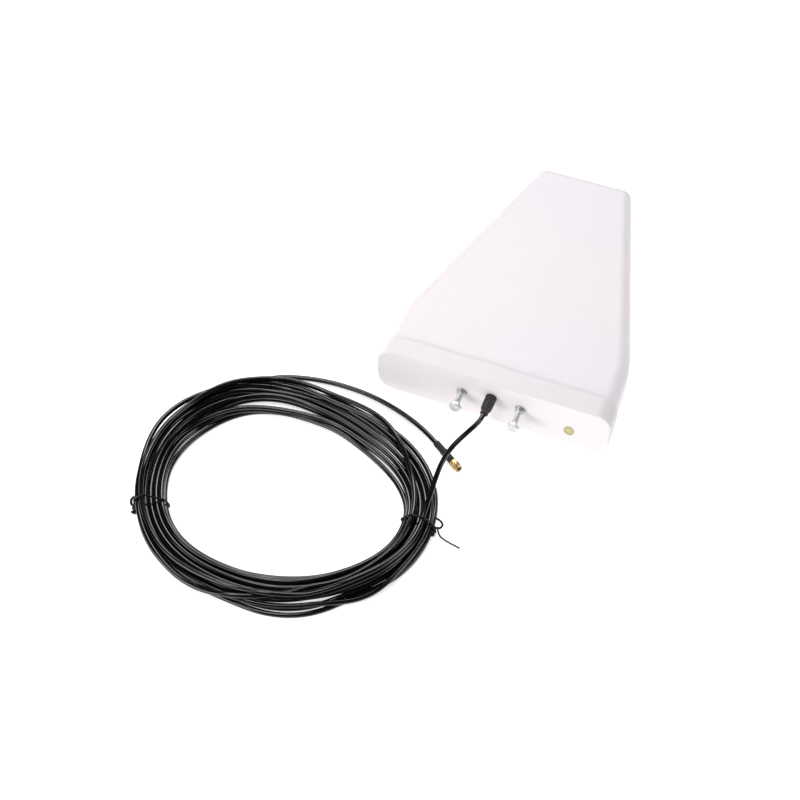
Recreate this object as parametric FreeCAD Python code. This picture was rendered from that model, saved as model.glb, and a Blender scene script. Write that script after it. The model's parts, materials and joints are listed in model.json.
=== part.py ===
import FreeCAD, Part
import math
import os

# Outdoor log-periodic antenna: a flat trapezoidal cover closed by a cap at its wide end, two booms
# with twenty half-elements inside, two mounting bolts, and a fixed coaxial cable lying in a tied coil.
#
# Millimetres. Everything is drawn from the middle of the cap's rear face, where the bolts and the
# cable are: X across the antenna, Y from the cap towards the narrow tip, Z up from the surface it
# lies on. export() then shifts every piece so that the origin is below the middle of the antenna.

# Cap
CAP_WIDTH = 240.0
CAP_HEIGHT = 56.5
CAP_DEPTH = 23.0
CAP_CORNER = 17.5
CAP_FACE = 4.0
CAP_EDGE = 2.0
CAP_LIP_EDGE = 0.6
POCKET_HALF = 118.25
POCKET_LOW = 2.75
POCKET_HIGH = 53.9
POCKET_CORNER = 14.0

# Radome
RADOME_WALL = 2.2
RADOME_START = 5.5
TIP_Y = 317.0
WIDE_HALF = 118.2
SIDE_SLOPE = 0.01
SHOULDER_Y = 75.0
SHOULDER_BLEND = 15.0
TIP_HALF = 52.0
BOTTOM_RISE = 3.0
TOP_AT_CAP = 53.9
TOP_AT_TIP = 51.0
CORNER_AT_CAP = 14.5
CORNER_AT_TIP = 11.5
TIP_FILLET = 9.5
GASKET_OUTER_INSET = 0.4
GASKET_INNER_INSET = 4.0

# Mounting bolts, M6
BOLT_X = 30.0
BOLT_Z = 30.6
BOLT_RADIUS = 3.0
BOLT_LENGTH = 30.0
HEAD_ACROSS_FLATS = 11.0
HEAD_THICK = 4.0
HEAD_FACE_INSET = 0.2
BOLT_TIP_CHAMFER = 0.6
BOLT_HOLE = 3.3
LEFT_BOLT_OUT = 18.0
RIGHT_BOLT_OUT = 21.0
WASHER_RADIUS = 5.5
WASHER_HOLE = 3.2
WASHER_THICK = 1.6
SPRING_WASHER_RADIUS = 5.0
SPRING_GAP_HALF = 0.6
SPRING_GAP_TURN = 25
NUT_THICK = 5.0
NUT_BORE = 3.05

# Plate behind the cap's face
PLATE_THICK = 3.0
PLATE_HALF = 50.0
PLATE_LOW = 8.0
PLATE_HIGH = 46.0
PLATE_CORNER = 4.0
PLATE_SCREW_X = 44.0
PLATE_SCREW_Z = 27.0
PLATE_SCREW_BITE = 2.5

# Small screws
SCREW_RADIUS = 1.5
SCREW_HOLE = 1.55
SCREW_HEAD = 2.75
SCREW_HEAD_THICK = 2.0
SCREW_HEAD_ROUNDING = 0.8
CAP_SCREW_XS = (-95.0, -35.0, 35.0, 95.0)
CAP_SCREW_Y = 13.0
CAP_SCREW_HEAD = 2.8
CAP_SCREW_RECESS = 0.2
CAP_SCREW_CONE = 1.5
CAP_SCREW_TOP = 10.0
BOSS_RADIUS = 4.0
BOSS_TOP = 12.0
BOSS_LOW = 3.7

# Strain relief and cable
CABLE_RADIUS = 2.5
BOOT_Z = 35.6
BOOT_ROOT_RADIUS = 5.75
BOOT_END_RADIUS = 5.3
BOOT_LENGTH = 17.5
BOOT_NECK_RADIUS = 3.75
BOOT_NECK = 4.5
BOOT_ROUNDING = 1.6
COLLAR_RADIUS = 4.95
COLLAR_HOLE = 5.0
COLLAR_LENGTH = 12.0
LOCK_NUT_FLATS = 16.0
LOCK_NUT_THICK = 4.0

# Booms: square tubes, one above the other
BOOM_SIZE = 10.0
BOOM_WALL = 1.5
LOWER_BOOM_Z = 15.0
BOOM_GAP = 4.0
BOOM_REAR = 40.0
UPPER_BOOM_FRONT = 300.0
LOWER_BOOM_FRONT = 302.0
BOOM_PLUG = 10.0
BLOCK_START = 42.0
BLOCK_END = 58.0
BOOM_SCREW_YS = (46.0, 54.0)
BRACKET_THICK = 3.0
FLANGE_THICK = 2.0
FLANGE_HALF = 20.0
FLANGE_HIGH = 26.0
SHELF_HALF = 10.0
SHELF_END = 62.0
BRACKET_SCREW_X = 14.0
BRACKET_SCREW_Z = 10.6
SPACER_YS = {"middle": 128.0, "front": 258.0}
SPACER_LENGTH = 8.0
SPACER_CHEEK = 1.5
SPACER_REACH = 3.5
CRADLE_HALF = 22.0
CRADLE_START = 262.0
CRADLE_END = 301.0
CRADLE_LOW = 2.9
CRADLE_CORNER = 5.0

# Elements: full dipole lengths from the rear station to the front one
DIPOLES = (215.0, 185.0, 159.0, 137.0, 118.0, 101.0, 87.0, 75.0, 64.0, 55.0)
FIRST_STATION = 66.0
STATION_STEP = 0.2
ELEMENT_RADIUS = 2.0
ELEMENT_ROOT = 1.5

# Feed
COAX_Z = 41.8
COAX_END = 298.0
CORE_RADIUS = 0.7
CLIP_YS = (88.0, 162.0, 217.0, 274.0)
CLIP_WIDTH = 6.0
CLIP_HALF = 7.0
CLIP_LOW = 33.0
CLIP_TOP = 45.8
CLIP_CORNER = 3.0
CLIP_CLEARANCE = 0.05
INSULATOR_LOW = 25.5
INSULATOR_HIGH = 44.6
LINK_HALF = 3.0
LINK_THICK = 0.8
LINK_LOW = 16.0
LINK_HIGH = 43.6
FEED_SCREW_BITE = 8.0

# Coil of cable on the floor: an oval ring, pinched where the two ties hold it
COIL_X = -149.7
COIL_Y = -157.0
COIL_LONG = 130.0
COIL_SHORT = 108.0
COIL_TILT = -4.0
COIL_SECTIONS = 60
COIL_HALF_WIDTH = 21.5
COIL_HALF_HEIGHT = 6.2
TIED_HALF_WIDTH = 15.5
TIED_HALF_HEIGHT = 7.2
TIE_ANGLES = {"left": 210.0, "right": 6.0}
TIE_REACH = 40.0
TIE_THICK = 1.2
TIE_WIDTH = 2.4

# Connector
CONNECTOR_START = (-37.8, -49.4)
CONNECTOR_ANGLE = -33.8
CONNECTOR_Z = 4.65
SHRINK_LENGTH = 27.0
SHRINK_REAR_RADIUS = 3.1
SHRINK_FRONT_RADIUS = 3.55
SHRINK_STEP_START = 7.0
SHRINK_STEP_END = 13.0
FERRULE_START = 12.0
FERRULE_RADIUS = 2.85
BARREL_RADIUS = 2.6
BARREL_END = 31.0
NOSE_RADIUS = 2.3
NOSE_END = 33.5
RING_START = 29.1
RING_WIDTH = 0.6
RING_RADIUS = 3.0
RING_GROOVE = 2.35
RING_SLOT_HALF = 0.5
DIELECTRIC_RADIUS = 2.0
DIELECTRIC_START = 28.0
DIELECTRIC_END = 33.0
PIN_RADIUS = 0.45
PIN_START = 29.0
PIN_END = 35.5
COUPLING_START = 27.2
COUPLING_HEX_END = 34.4
COUPLING_END = 38.2
COUPLING_FLATS = 8.0
COUPLING_BEVEL = 0.5
COUPLING_NOSE = 3.6
COUPLING_BORE = 3.1
COUPLING_WALL = 1.5
COUPLING_REAR_HOLE = 2.68

# Sticker on the cap's rear face
STICKER_X = 80.0
STICKER_Z = 21.0
STICKER_RADIUS = 5.0
STICKER_THICK = 0.15

# Points that the cable follows where it isn't coiled
LEAD_ROUTE = (
    (0.0, -22.0, 35.6),
    (-0.8, -30.0, 35.4),
    (-3.9, -38.2, 34.3),
    (-10.0, -48.0, 31.7),
    (-17.0, -62.0, 26.3),
    (-21.2, -79.0, 21.2),
    (-20.8, -97.0, 18.2),
    (-19.2, -113.5, 16.4),
    (-18.4, -129.0, 14.2),
)
TAIL_ROUTE = (
    (-256.0, -72.0, 2.6),
    (-240.5, -49.5, 2.6),
    (-220.0, -31.1, 2.6),
    (-193.8, -21.6, 2.6),
    (-166.3, -16.5, 2.6),
    (-142.0, -15.7, 2.6),
    (-118.6, -17.3, 2.6),
    (-93.7, -22.7, 2.6),
    (-70.0, -31.0, 3.0),
)
FEED_ROUTE = (
    (0.0, -21.7, 35.6),
    (0.0, 21.0, 35.6),
    (0.0, 36.0, COAX_Z),
    (0.0, COAX_END, COAX_Z),
)
LAST_RUN = 24.0
ARC_SHARE = 0.45

HEAD_REACH = RIGHT_BOLT_OUT + HEAD_THICK
ROW_SHIFT = FreeCAD.Vector(0, -(TIP_Y - HEAD_REACH) / 2, 0)
ALONG_Y = FreeCAD.Vector(0, 1, 0)
ALONG_Z = FreeCAD.Vector(0, 0, 1)


def point(x, y, z):
    return FreeCAD.Vector(x, y, z)


def box(low, high):
    """A block between two opposite corners."""
    size = point(*high) - point(*low)
    return Part.makeBox(size.x, size.y, size.z, point(*low))


def rod_y(radius, x, z, start, end):
    return Part.makeCylinder(radius, end - start, point(x, start, z), ALONG_Y)


def rod_z(radius, x, y, low, high):
    return Part.makeCylinder(radius, high - low, point(x, y, low), ALONG_Z)


def hexagon(across_flats, thickness):
    """A hexagonal prism along +Y from the origin, with two flats level."""
    corner = across_flats / math.sqrt(3)
    turns = [math.radians(60 * side) for side in range(7)]
    outline = [point(corner * math.cos(turn), 0, corner * math.sin(turn)) for turn in turns]
    face = Part.Face(Part.makePolygon(outline))
    return face.extrude(point(0, thickness, 0))


def spun(profile):
    """A solid turned about the Y axis from (radius, y) points."""
    corners = [point(radius, y, 0) for radius, y in profile]
    outline = Part.makePolygon(corners + corners[:1])
    return Part.Face(outline).revolve(point(0, 0, 0), ALONG_Y, 360)


def moved(shape, x, y, z):
    shape.translate(point(x, y, z))
    return shape


def rounded_outline(y, half_width, low, high, corner):
    """A rounded rectangle standing in the XZ plane at y."""
    centres = (
        (half_width - corner, high - corner, 0),
        (corner - half_width, high - corner, 90),
        (corner - half_width, low + corner, 180),
        (half_width - corner, low + corner, 270),
    )
    arcs = []
    for x, z, start in centres:
        spots = []
        for turn in (start, start + 45, start + 90):
            angle = math.radians(turn)
            spots.append(point(x + corner * math.cos(angle), y, z + corner * math.sin(angle)))
        arcs.append(spots)
    edges = []
    for index, spots in enumerate(arcs):
        following = arcs[(index + 1) % len(arcs)]
        edges.append(Part.Arc(*spots).toShape())
        edges.append(Part.LineSegment(spots[2], following[0]).toShape())
    return Part.Wire(edges)


def rounded_block(half_width, low, high, corner, start, end):
    outline = Part.Face(rounded_outline(start, half_width, low, high, corner))
    return outline.extrude(point(0, end - start, 0))


def edges_at_y(shape, y):
    """The edges that lie wholly in the plane at y."""
    return [edge for edge in shape.Edges if all(abs(v.Y - y) < 1e-4 for v in edge.Vertexes)]


# ---------------------------------------------------------------- cap and radome


def countersunk_screw(x):
    profile = [
        (0, CAP_SCREW_RECESS),
        (CAP_SCREW_HEAD, CAP_SCREW_RECESS),
        (SCREW_RADIUS, CAP_SCREW_RECESS + CAP_SCREW_CONE),
        (SCREW_RADIUS, CAP_SCREW_TOP - SCREW_RADIUS),
        (0, CAP_SCREW_TOP),
    ]
    screw = spun(profile)
    screw.rotate(point(0, 0, 0), point(1, 0, 0), 90)
    return moved(screw, x, CAP_SCREW_Y, 0)


def base_cap():
    """A shallow tray: its face carries the bolts and the cable, its lip goes over the radome."""
    cap = rounded_block(CAP_WIDTH / 2, 0, CAP_HEIGHT, CAP_CORNER, 0, CAP_DEPTH)
    cap = cap.makeFillet(CAP_EDGE, edges_at_y(cap, 0))
    cap = cap.makeFillet(CAP_LIP_EDGE, edges_at_y(cap, CAP_DEPTH))
    pocket = rounded_block(POCKET_HALF, POCKET_LOW, POCKET_HIGH, POCKET_CORNER, CAP_FACE, CAP_DEPTH + 1)
    cap = cap.cut(pocket)
    for x in (-BOLT_X, BOLT_X):
        cap = cap.cut(rod_y(BOLT_HOLE, x, BOLT_Z, -1, CAP_FACE + 1))
    cap = cap.cut(rod_y(COLLAR_HOLE, 0, BOOT_Z, -1, CAP_FACE + 1))
    for x in (-PLATE_SCREW_X, PLATE_SCREW_X):
        cap = cap.cut(rod_y(SCREW_RADIUS, x, PLATE_SCREW_Z, CAP_FACE - PLATE_SCREW_BITE, CAP_FACE + 1))
    for x in CAP_SCREW_XS:
        cap = cap.cut(rod_z(SCREW_HOLE, x, CAP_SCREW_Y, -1, POCKET_LOW + 1))
        cap = cap.cut(rod_z(CAP_SCREW_HEAD, x, CAP_SCREW_Y, -1, CAP_SCREW_RECESS))
        cap = cap.cut(countersunk_screw(x))
    return cap


def cap_screws():
    return Part.makeCompound([countersunk_screw(x) for x in CAP_SCREW_XS])


def half_width(y):
    """Half the radome's width: nearly parallel up to the shoulder, then tapering to the tip."""
    at_shoulder = WIDE_HALF - SIDE_SLOPE * SHOULDER_Y
    taper = (at_shoulder - TIP_HALF) / (TIP_Y - SHOULDER_Y)
    if y <= SHOULDER_Y - SHOULDER_BLEND:
        return WIDE_HALF - SIDE_SLOPE * y
    if y >= SHOULDER_Y + SHOULDER_BLEND:
        return at_shoulder - taper * (y - SHOULDER_Y)
    into = y - (SHOULDER_Y - SHOULDER_BLEND)
    bend = (taper - SIDE_SLOPE) / (4 * SHOULDER_BLEND)
    return WIDE_HALF - SIDE_SLOPE * y - bend * into**2


def radome_section(y, inset):
    low = BOTTOM_RISE * (1 - y / TIP_Y) + inset
    high = TOP_AT_CAP + (TOP_AT_TIP - TOP_AT_CAP) * y / TIP_Y - inset
    corner = CORNER_AT_CAP + (CORNER_AT_TIP - CORNER_AT_CAP) * y / TIP_Y - inset
    return rounded_outline(y, half_width(y) - inset, low, high, corner)


def radome_block(inset, start):
    end = TIP_Y - inset
    shoulder = [SHOULDER_Y + SHOULDER_BLEND * step / 3 for step in range(-3, 4)]
    sections = [radome_section(y, inset) for y in [start] + shoulder + [end]]
    block = Part.makeLoft(sections, True, True)
    return block.makeFillet(TIP_FILLET - inset, edges_at_y(block, end))


def radome():
    """A thin shell, open towards the cap, with a boss over each cap screw."""
    shell = radome_block(0, RADOME_START).cut(radome_block(RADOME_WALL, RADOME_START - 1))
    for x in CAP_SCREW_XS:
        shell = shell.fuse(rod_z(BOSS_RADIUS, x, CAP_SCREW_Y, BOSS_LOW, BOSS_TOP))
        shell = shell.cut(rod_z(SCREW_RADIUS, x, CAP_SCREW_Y, 0, CAP_SCREW_TOP + 1))
    return shell.removeSplitter()


def cap_gasket():
    """A foam ring between the cap's face and the rim of the radome."""
    outer = Part.Face(radome_section(CAP_FACE, GASKET_OUTER_INSET))
    ring = outer.cut(Part.Face(radome_section(CAP_FACE, GASKET_INNER_INSET)))
    return ring.extrude(point(0, RADOME_START - CAP_FACE, 0))


def inspection_sticker():
    return rod_y(STICKER_RADIUS, STICKER_X, STICKER_Z, -STICKER_THICK, 0)


# ---------------------------------------------------------------- mounting bolts and plate


def hex_bolt(x, head_out):
    """A hex-head bolt pointing along +Y, with the underside of its head head_out before the cap."""
    corner = HEAD_ACROSS_FLATS / math.sqrt(3)
    chamfer = corner - HEAD_ACROSS_FLATS / 2
    profile = [
        (0, 0),
        (HEAD_ACROSS_FLATS / 2 - HEAD_FACE_INSET, 0),
        (corner, chamfer),
        (corner, HEAD_THICK),
        (0, HEAD_THICK),
    ]
    head = hexagon(HEAD_ACROSS_FLATS, HEAD_THICK).common(spun(profile))
    tip_y = HEAD_THICK + BOLT_LENGTH
    bolt = head.fuse(rod_y(BOLT_RADIUS, 0, 0, HEAD_THICK, tip_y))
    bolt = bolt.makeChamfer(BOLT_TIP_CHAMFER, edges_at_y(bolt, tip_y))
    return moved(bolt, x, -head_out - HEAD_THICK, BOLT_Z)


def washer(x, outer, inner, start, end):
    return rod_y(outer, x, BOLT_Z, start, end).cut(rod_y(inner, x, BOLT_Z, start, end))


def flat_washers():
    rings = [washer(x, WASHER_RADIUS, WASHER_HOLE, -WASHER_THICK, 0) for x in (-BOLT_X, BOLT_X)]
    return Part.makeCompound(rings)


def spring_washers():
    """Split rings on top of the flat washers, each with its slanting gap uppermost."""
    start = -2 * WASHER_THICK
    end = -WASHER_THICK
    rings = []
    for x in (-BOLT_X, BOLT_X):
        ring = washer(x, SPRING_WASHER_RADIUS, WASHER_HOLE, start, end)
        gap = box((-SPRING_GAP_HALF, start - 1, 0), (SPRING_GAP_HALF, end + 1, WASHER_RADIUS + 1))
        gap.rotate(point(0, (start + end) / 2, 0), ALONG_Z, SPRING_GAP_TURN)
        rings.append(ring.cut(moved(gap, x, 0, BOLT_Z)))
    return Part.makeCompound(rings)


def mount_plate():
    start, end = CAP_FACE, CAP_FACE + PLATE_THICK
    plate = rounded_block(PLATE_HALF, PLATE_LOW, PLATE_HIGH, PLATE_CORNER, start, end)
    holes = [(BOLT_HOLE, x, BOLT_Z) for x in (-BOLT_X, BOLT_X)]
    holes += [(SCREW_HOLE, x, PLATE_SCREW_Z) for x in (-PLATE_SCREW_X, PLATE_SCREW_X)]
    holes += [(SCREW_HOLE, x, BRACKET_SCREW_Z) for x in (-BRACKET_SCREW_X, BRACKET_SCREW_X)]
    holes.append((COLLAR_HOLE, 0, BOOT_Z))
    for radius, x, z in holes:
        plate = plate.cut(rod_y(radius, x, z, start - 1, end + 1))
    return plate


def weld_nuts():
    start = CAP_FACE + PLATE_THICK
    nuts = []
    for x in (-BOLT_X, BOLT_X):
        nut = moved(hexagon(HEAD_ACROSS_FLATS, NUT_THICK), x, start, BOLT_Z)
        nuts.append(nut.cut(rod_y(NUT_BORE, x, BOLT_Z, start - 1, start + NUT_THICK + 1)))
    return Part.makeCompound(nuts)


def pan_screw_y(x, z, seat, bite):
    """A pan-head screw driven towards -Y, its head resting on the plane at seat."""
    head = rod_y(SCREW_HEAD, x, z, seat, seat + SCREW_HEAD_THICK)
    head = head.makeFillet(SCREW_HEAD_ROUNDING, edges_at_y(head, seat + SCREW_HEAD_THICK))
    return head.fuse(rod_y(SCREW_RADIUS, x, z, seat - bite, seat))


def plate_screws():
    seat = CAP_FACE + PLATE_THICK
    bite = PLATE_THICK + PLATE_SCREW_BITE
    screws = [pan_screw_y(x, PLATE_SCREW_Z, seat, bite) for x in (-PLATE_SCREW_X, PLATE_SCREW_X)]
    return Part.makeCompound(screws)


def strain_relief_boot():
    """A rubber sleeve round the cable, with a collar that passes through the cap and the plate."""
    end = -BOOT_LENGTH
    profile = [
        (CABLE_RADIUS, COLLAR_LENGTH),
        (COLLAR_RADIUS, COLLAR_LENGTH),
        (COLLAR_RADIUS, 0),
        (BOOT_ROOT_RADIUS, 0),
        (BOOT_END_RADIUS, end + BOOT_ROUNDING),
        (BOOT_END_RADIUS - BOOT_ROUNDING / 2, end),
        (BOOT_NECK_RADIUS, end),
        (BOOT_NECK_RADIUS, end - BOOT_NECK),
        (CABLE_RADIUS, end - BOOT_NECK),
    ]
    return moved(spun(profile), 0, 0, BOOT_Z)


def boot_lock_nut():
    start = CAP_FACE + PLATE_THICK
    nut = moved(hexagon(LOCK_NUT_FLATS, LOCK_NUT_THICK), 0, start, BOOT_Z)
    return nut.cut(rod_y(COLLAR_HOLE, 0, BOOT_Z, start - 1, start + LOCK_NUT_THICK + 1))


# ---------------------------------------------------------------- booms, elements and feed

UPPER_BOOM_Z = LOWER_BOOM_Z + BOOM_SIZE + BOOM_GAP
LOWER_ROD_Z = LOWER_BOOM_Z + BOOM_SIZE / 2
UPPER_ROD_Z = UPPER_BOOM_Z + BOOM_SIZE / 2


def stations():
    """Each dipole's place along the boom: the step to the next is a fixed share of its length."""
    places = []
    y = FIRST_STATION
    for length in DIPOLES:
        places.append((y, length))
        y += STATION_STEP * length
    return places


def half_element(y, length, z, side):
    start = ELEMENT_ROOT if side > 0 else -length / 2
    return Part.makeCylinder(ELEMENT_RADIUS, length / 2 - ELEMENT_ROOT, point(start, y, z), point(1, 0, 0))


def elements():
    """Named half-elements: the two booms carry opposite halves, and the sides alternate."""
    rods = {}
    for number, (y, length) in enumerate(stations(), start=1):
        side = 1 if number % 2 else -1
        rods[f"element_{number:02d}_upper"] = half_element(y, length, UPPER_ROD_Z, side)
        rods[f"element_{number:02d}_lower"] = half_element(y, length, LOWER_ROD_Z, -side)
    return rods


def boom(low, front, rods):
    """A square tube, solid at its front end, drilled for its elements and for the boom screws."""
    half = BOOM_SIZE / 2
    inner = half - BOOM_WALL
    tube = box((-half, BOOM_REAR, low), (half, front, low + BOOM_SIZE))
    hollow = box(
        (-inner, BOOM_REAR - 1, low + BOOM_WALL),
        (inner, front - BOOM_PLUG, low + BOOM_SIZE - BOOM_WALL),
    )
    tube = tube.cut(hollow)
    for rod in rods:
        tube = tube.cut(rod)
    for y in BOOM_SCREW_YS:
        tube = tube.cut(rod_z(SCREW_HOLE, 0, y, low - 1, low + BOOM_SIZE + 1))
    return tube


def boom_short_block():
    half = BOOM_SIZE / 2
    block = box((-half, BLOCK_START, LOWER_BOOM_Z + BOOM_SIZE), (half, BLOCK_END, UPPER_BOOM_Z))
    for y in BOOM_SCREW_YS:
        block = block.cut(rod_z(SCREW_HOLE, 0, y, LOWER_BOOM_Z, UPPER_BOOM_Z + 1))
    return block


def boom_screws():
    under = LOWER_BOOM_Z - BRACKET_THICK
    screws = []
    for y in BOOM_SCREW_YS:
        head = rod_z(SCREW_HEAD, 0, y, under - SCREW_HEAD_THICK, under)
        screws.append(head.fuse(rod_z(SCREW_RADIUS, 0, y, under, UPPER_BOOM_Z + BOOM_SIZE)))
    return Part.makeCompound(screws)


def boom_bracket():
    """An angle: its flange is screwed to the plate, its shelf carries the lower boom."""
    start = CAP_FACE + PLATE_THICK
    low = LOWER_BOOM_Z - BRACKET_THICK
    flange = box((-FLANGE_HALF, start, PLATE_LOW), (FLANGE_HALF, start + FLANGE_THICK, FLANGE_HIGH))
    shelf = box((-SHELF_HALF, start, low), (SHELF_HALF, SHELF_END, LOWER_BOOM_Z))
    bracket = flange.fuse(shelf)
    for x in (-BRACKET_SCREW_X, BRACKET_SCREW_X):
        bracket = bracket.cut(rod_y(SCREW_HOLE, x, BRACKET_SCREW_Z, start - 1, start + FLANGE_THICK + 1))
    for y in BOOM_SCREW_YS:
        bracket = bracket.cut(rod_z(SCREW_HOLE, 0, y, low - 1, LOWER_BOOM_Z + 1))
    return bracket.removeSplitter()


def bracket_screws():
    seat = CAP_FACE + PLATE_THICK + FLANGE_THICK
    bite = PLATE_THICK + FLANGE_THICK
    screws = [pan_screw_y(x, BRACKET_SCREW_Z, seat, bite) for x in (-BRACKET_SCREW_X, BRACKET_SCREW_X)]
    return Part.makeCompound(screws)


def boom_spacer(y):
    """A plastic block that keeps the booms apart, with cheeks that grip their sides."""
    half = BOOM_SIZE / 2
    start, end = y - SPACER_LENGTH / 2, y + SPACER_LENGTH / 2
    low, high = LOWER_BOOM_Z + BOOM_SIZE, UPPER_BOOM_Z
    spacer = box((-half, start, low), (half, end, high))
    for side in (-half - SPACER_CHEEK, half):
        cheek = box((side, start, low - SPACER_REACH), (side + SPACER_CHEEK, end, high + SPACER_REACH))
        spacer = spacer.fuse(cheek)
    return spacer.removeSplitter()


def tip_cradle():
    """A foam block under the front end of the booms."""
    cradle = box((-CRADLE_HALF, CRADLE_START, CRADLE_LOW), (CRADLE_HALF, CRADLE_END, LOWER_BOOM_Z))
    upright = [edge for edge in cradle.Edges if abs(edge.tangentAt(edge.FirstParameter).z) > 0.9]
    return cradle.makeFillet(CRADLE_CORNER, upright)


def coax_clips():
    """Plastic saddles that hold the coax down on the upper boom."""
    half = BOOM_SIZE / 2 + CLIP_CLEARANCE
    boom_top = UPPER_BOOM_Z + BOOM_SIZE + CLIP_CLEARANCE
    clips = []
    for y in CLIP_YS:
        start, end = y - CLIP_WIDTH / 2, y + CLIP_WIDTH / 2
        clip = box((-CLIP_HALF, start, CLIP_LOW), (CLIP_HALF, end, CLIP_TOP))
        long_edges = [e for e in clip.Edges if abs(e.tangentAt(e.FirstParameter).y) > 0.9]
        upper = [e for e in long_edges if e.CenterOfMass.z > COAX_Z]
        clip = clip.makeFillet(CLIP_CORNER, upper)
        clip = clip.cut(box((-half, start - 1, CLIP_LOW - 1), (half, end + 1, boom_top)))
        clip = clip.cut(rod_y(CABLE_RADIUS + CLIP_CLEARANCE, 0, COAX_Z, start - 1, end + 1))
        clips.append(clip)
    return Part.makeCompound(clips)


def feed_insulator():
    half = BOOM_SIZE / 2
    sheet = box((-half, UPPER_BOOM_FRONT, INSULATOR_LOW), (half, LOWER_BOOM_FRONT, INSULATOR_HIGH))
    return sheet.cut(rod_y(CORE_RADIUS, 0, COAX_Z, UPPER_BOOM_FRONT - 1, LOWER_BOOM_FRONT + 1))


def feed_link():
    """A brass strip from the cable's core down to the lower boom."""
    start, end = LOWER_BOOM_FRONT, LOWER_BOOM_FRONT + LINK_THICK
    link = box((-LINK_HALF, start, LINK_LOW), (LINK_HALF, end, LINK_HIGH))
    link = link.cut(rod_y(CORE_RADIUS, 0, COAX_Z, start - 1, end + 1))
    return link.cut(rod_y(SCREW_HOLE, 0, LOWER_ROD_Z, start - 1, end + 1))


def feed_screw():
    return pan_screw_y(0, LOWER_ROD_Z, LOWER_BOOM_FRONT + LINK_THICK, FEED_SCREW_BITE)


# ---------------------------------------------------------------- cable


def smooth_path(route, name):
    """Straight runs joined by tangent arcs, each as large as its two runs allow."""
    spots = [point(*spot) for spot in route]
    edges, radii = [], []
    previous = spots[0]
    for before, corner, after in zip(spots, spots[1:], spots[2:]):
        arriving, leaving = corner - before, after - corner
        half_turn = arriving.getAngle(leaving) / 2
        reach = ARC_SHARE * min(arriving.Length, leaving.Length)
        radius = reach / math.tan(half_turn)
        arriving.normalize()
        leaving.normalize()
        start, end = corner - arriving * reach, corner + leaving * reach
        inwards = leaving - arriving
        inwards.normalize()
        middle = corner + inwards * (radius / math.cos(half_turn) - radius)
        edges.append(Part.LineSegment(previous, start).toShape())
        edges.append(Part.Arc(start, middle, end).toShape())
        previous = end
        radii.append(round(radius))
    edges.append(Part.LineSegment(previous, spots[-1]).toShape())
    print(name, "radii", radii, "length", round(sum(edge.Length for edge in edges), 1))
    return Part.Wire(edges)


def tube(route, name):
    path = smooth_path(route, name)
    first = path.Edges[0]
    heading = first.tangentAt(first.FirstParameter)
    section = Part.Wire([Part.Circle(point(*route[0]), heading, CABLE_RADIUS).toShape()])
    solid = path.makePipeShell([section], True, False)
    expected = math.pi * CABLE_RADIUS**2 * path.Length
    print(name, "volume over section x length", round(solid.Volume / expected, 4))
    return solid


def along_connector(distance):
    """The point on the connector's axis this far from the cable end of its shrink tube."""
    turn = math.radians(CONNECTOR_ANGLE)
    x = CONNECTOR_START[0] + distance * math.cos(turn)
    y = CONNECTOR_START[1] + distance * math.sin(turn)
    return (x, y, CONNECTOR_Z)


def cord_lead():
    return tube(LEAD_ROUTE, "cord_lead")


def cord_tail():
    ending = (along_connector(FERRULE_START - LAST_RUN), along_connector(FERRULE_START))
    return tube(TAIL_ROUTE + ending, "cord_tail")


def feed_coax():
    """The cable inside the antenna, from the boot's outer end to the feed point, with its bare core."""
    core = rod_y(CORE_RADIUS, 0, COAX_Z, COAX_END - 1, LOWER_BOOM_FRONT + LINK_THICK)
    return tube(FEED_ROUTE, "feed_coax").fuse(core)


def coil_spread(angle):
    """How far the ring has opened out at an angle: 0 at a tie, 1 well away from both."""
    nearest = min(abs((angle - tie + 180) % 360 - 180) for tie in TIE_ANGLES.values())
    share = min(nearest / TIE_REACH, 1)
    return share * share * (3 - 2 * share)


def coil_frame(angle):
    """The middle of the ring at an angle, and the outward direction across it."""
    turn = math.radians(angle)
    across = point(COIL_LONG * math.cos(turn), COIL_SHORT * math.sin(turn), 0)
    outward = point(COIL_SHORT * math.cos(turn), COIL_LONG * math.sin(turn), 0)
    outward.normalize()
    spin = FreeCAD.Rotation(ALONG_Z, COIL_TILT)
    return point(COIL_X, COIL_Y, 0) + spin.multVec(across), spin.multVec(outward)


def coil_section(angle, extra):
    """The ring's oval cross-section, grown by extra all round."""
    spread = coil_spread(angle)
    half = TIED_HALF_WIDTH + (COIL_HALF_WIDTH - TIED_HALF_WIDTH) * spread + extra
    height = TIED_HALF_HEIGHT + (COIL_HALF_HEIGHT - TIED_HALF_HEIGHT) * spread
    middle, outward = coil_frame(angle)
    centre = middle + point(0, 0, height + TIE_THICK * (1 - spread))
    oval = Part.Ellipse(centre + outward * half, centre + point(0, 0, height + extra), centre)
    return Part.Wire([oval.toShape()])


def cord_coil():
    step = 360 / COIL_SECTIONS
    sections = [coil_section(step * index, 0) for index in range(COIL_SECTIONS)]
    return Part.makeLoft(sections, True, False, True)


def cord_tie(angle):
    """A flat wire tie drawn round the ring, which it lifts by its own thickness."""
    outward = coil_frame(angle)[1]
    along = point(-outward.y, outward.x, 0) * TIE_WIDTH
    outer = Part.Face(coil_section(angle, TIE_THICK)).extrude(along)
    inner = Part.Face(coil_section(angle, 0)).extrude(along)
    band = outer.cut(inner)
    band.translate(along * -0.5)
    return band


# ---------------------------------------------------------------- connector


def place_connector(shape):
    """Turn a piece drawn along +Y from the shrink tube's cable end, and set it on the floor."""
    shape.rotate(point(0, 0, 0), ALONG_Z, CONNECTOR_ANGLE - 90)
    return moved(shape, *along_connector(0))


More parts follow.
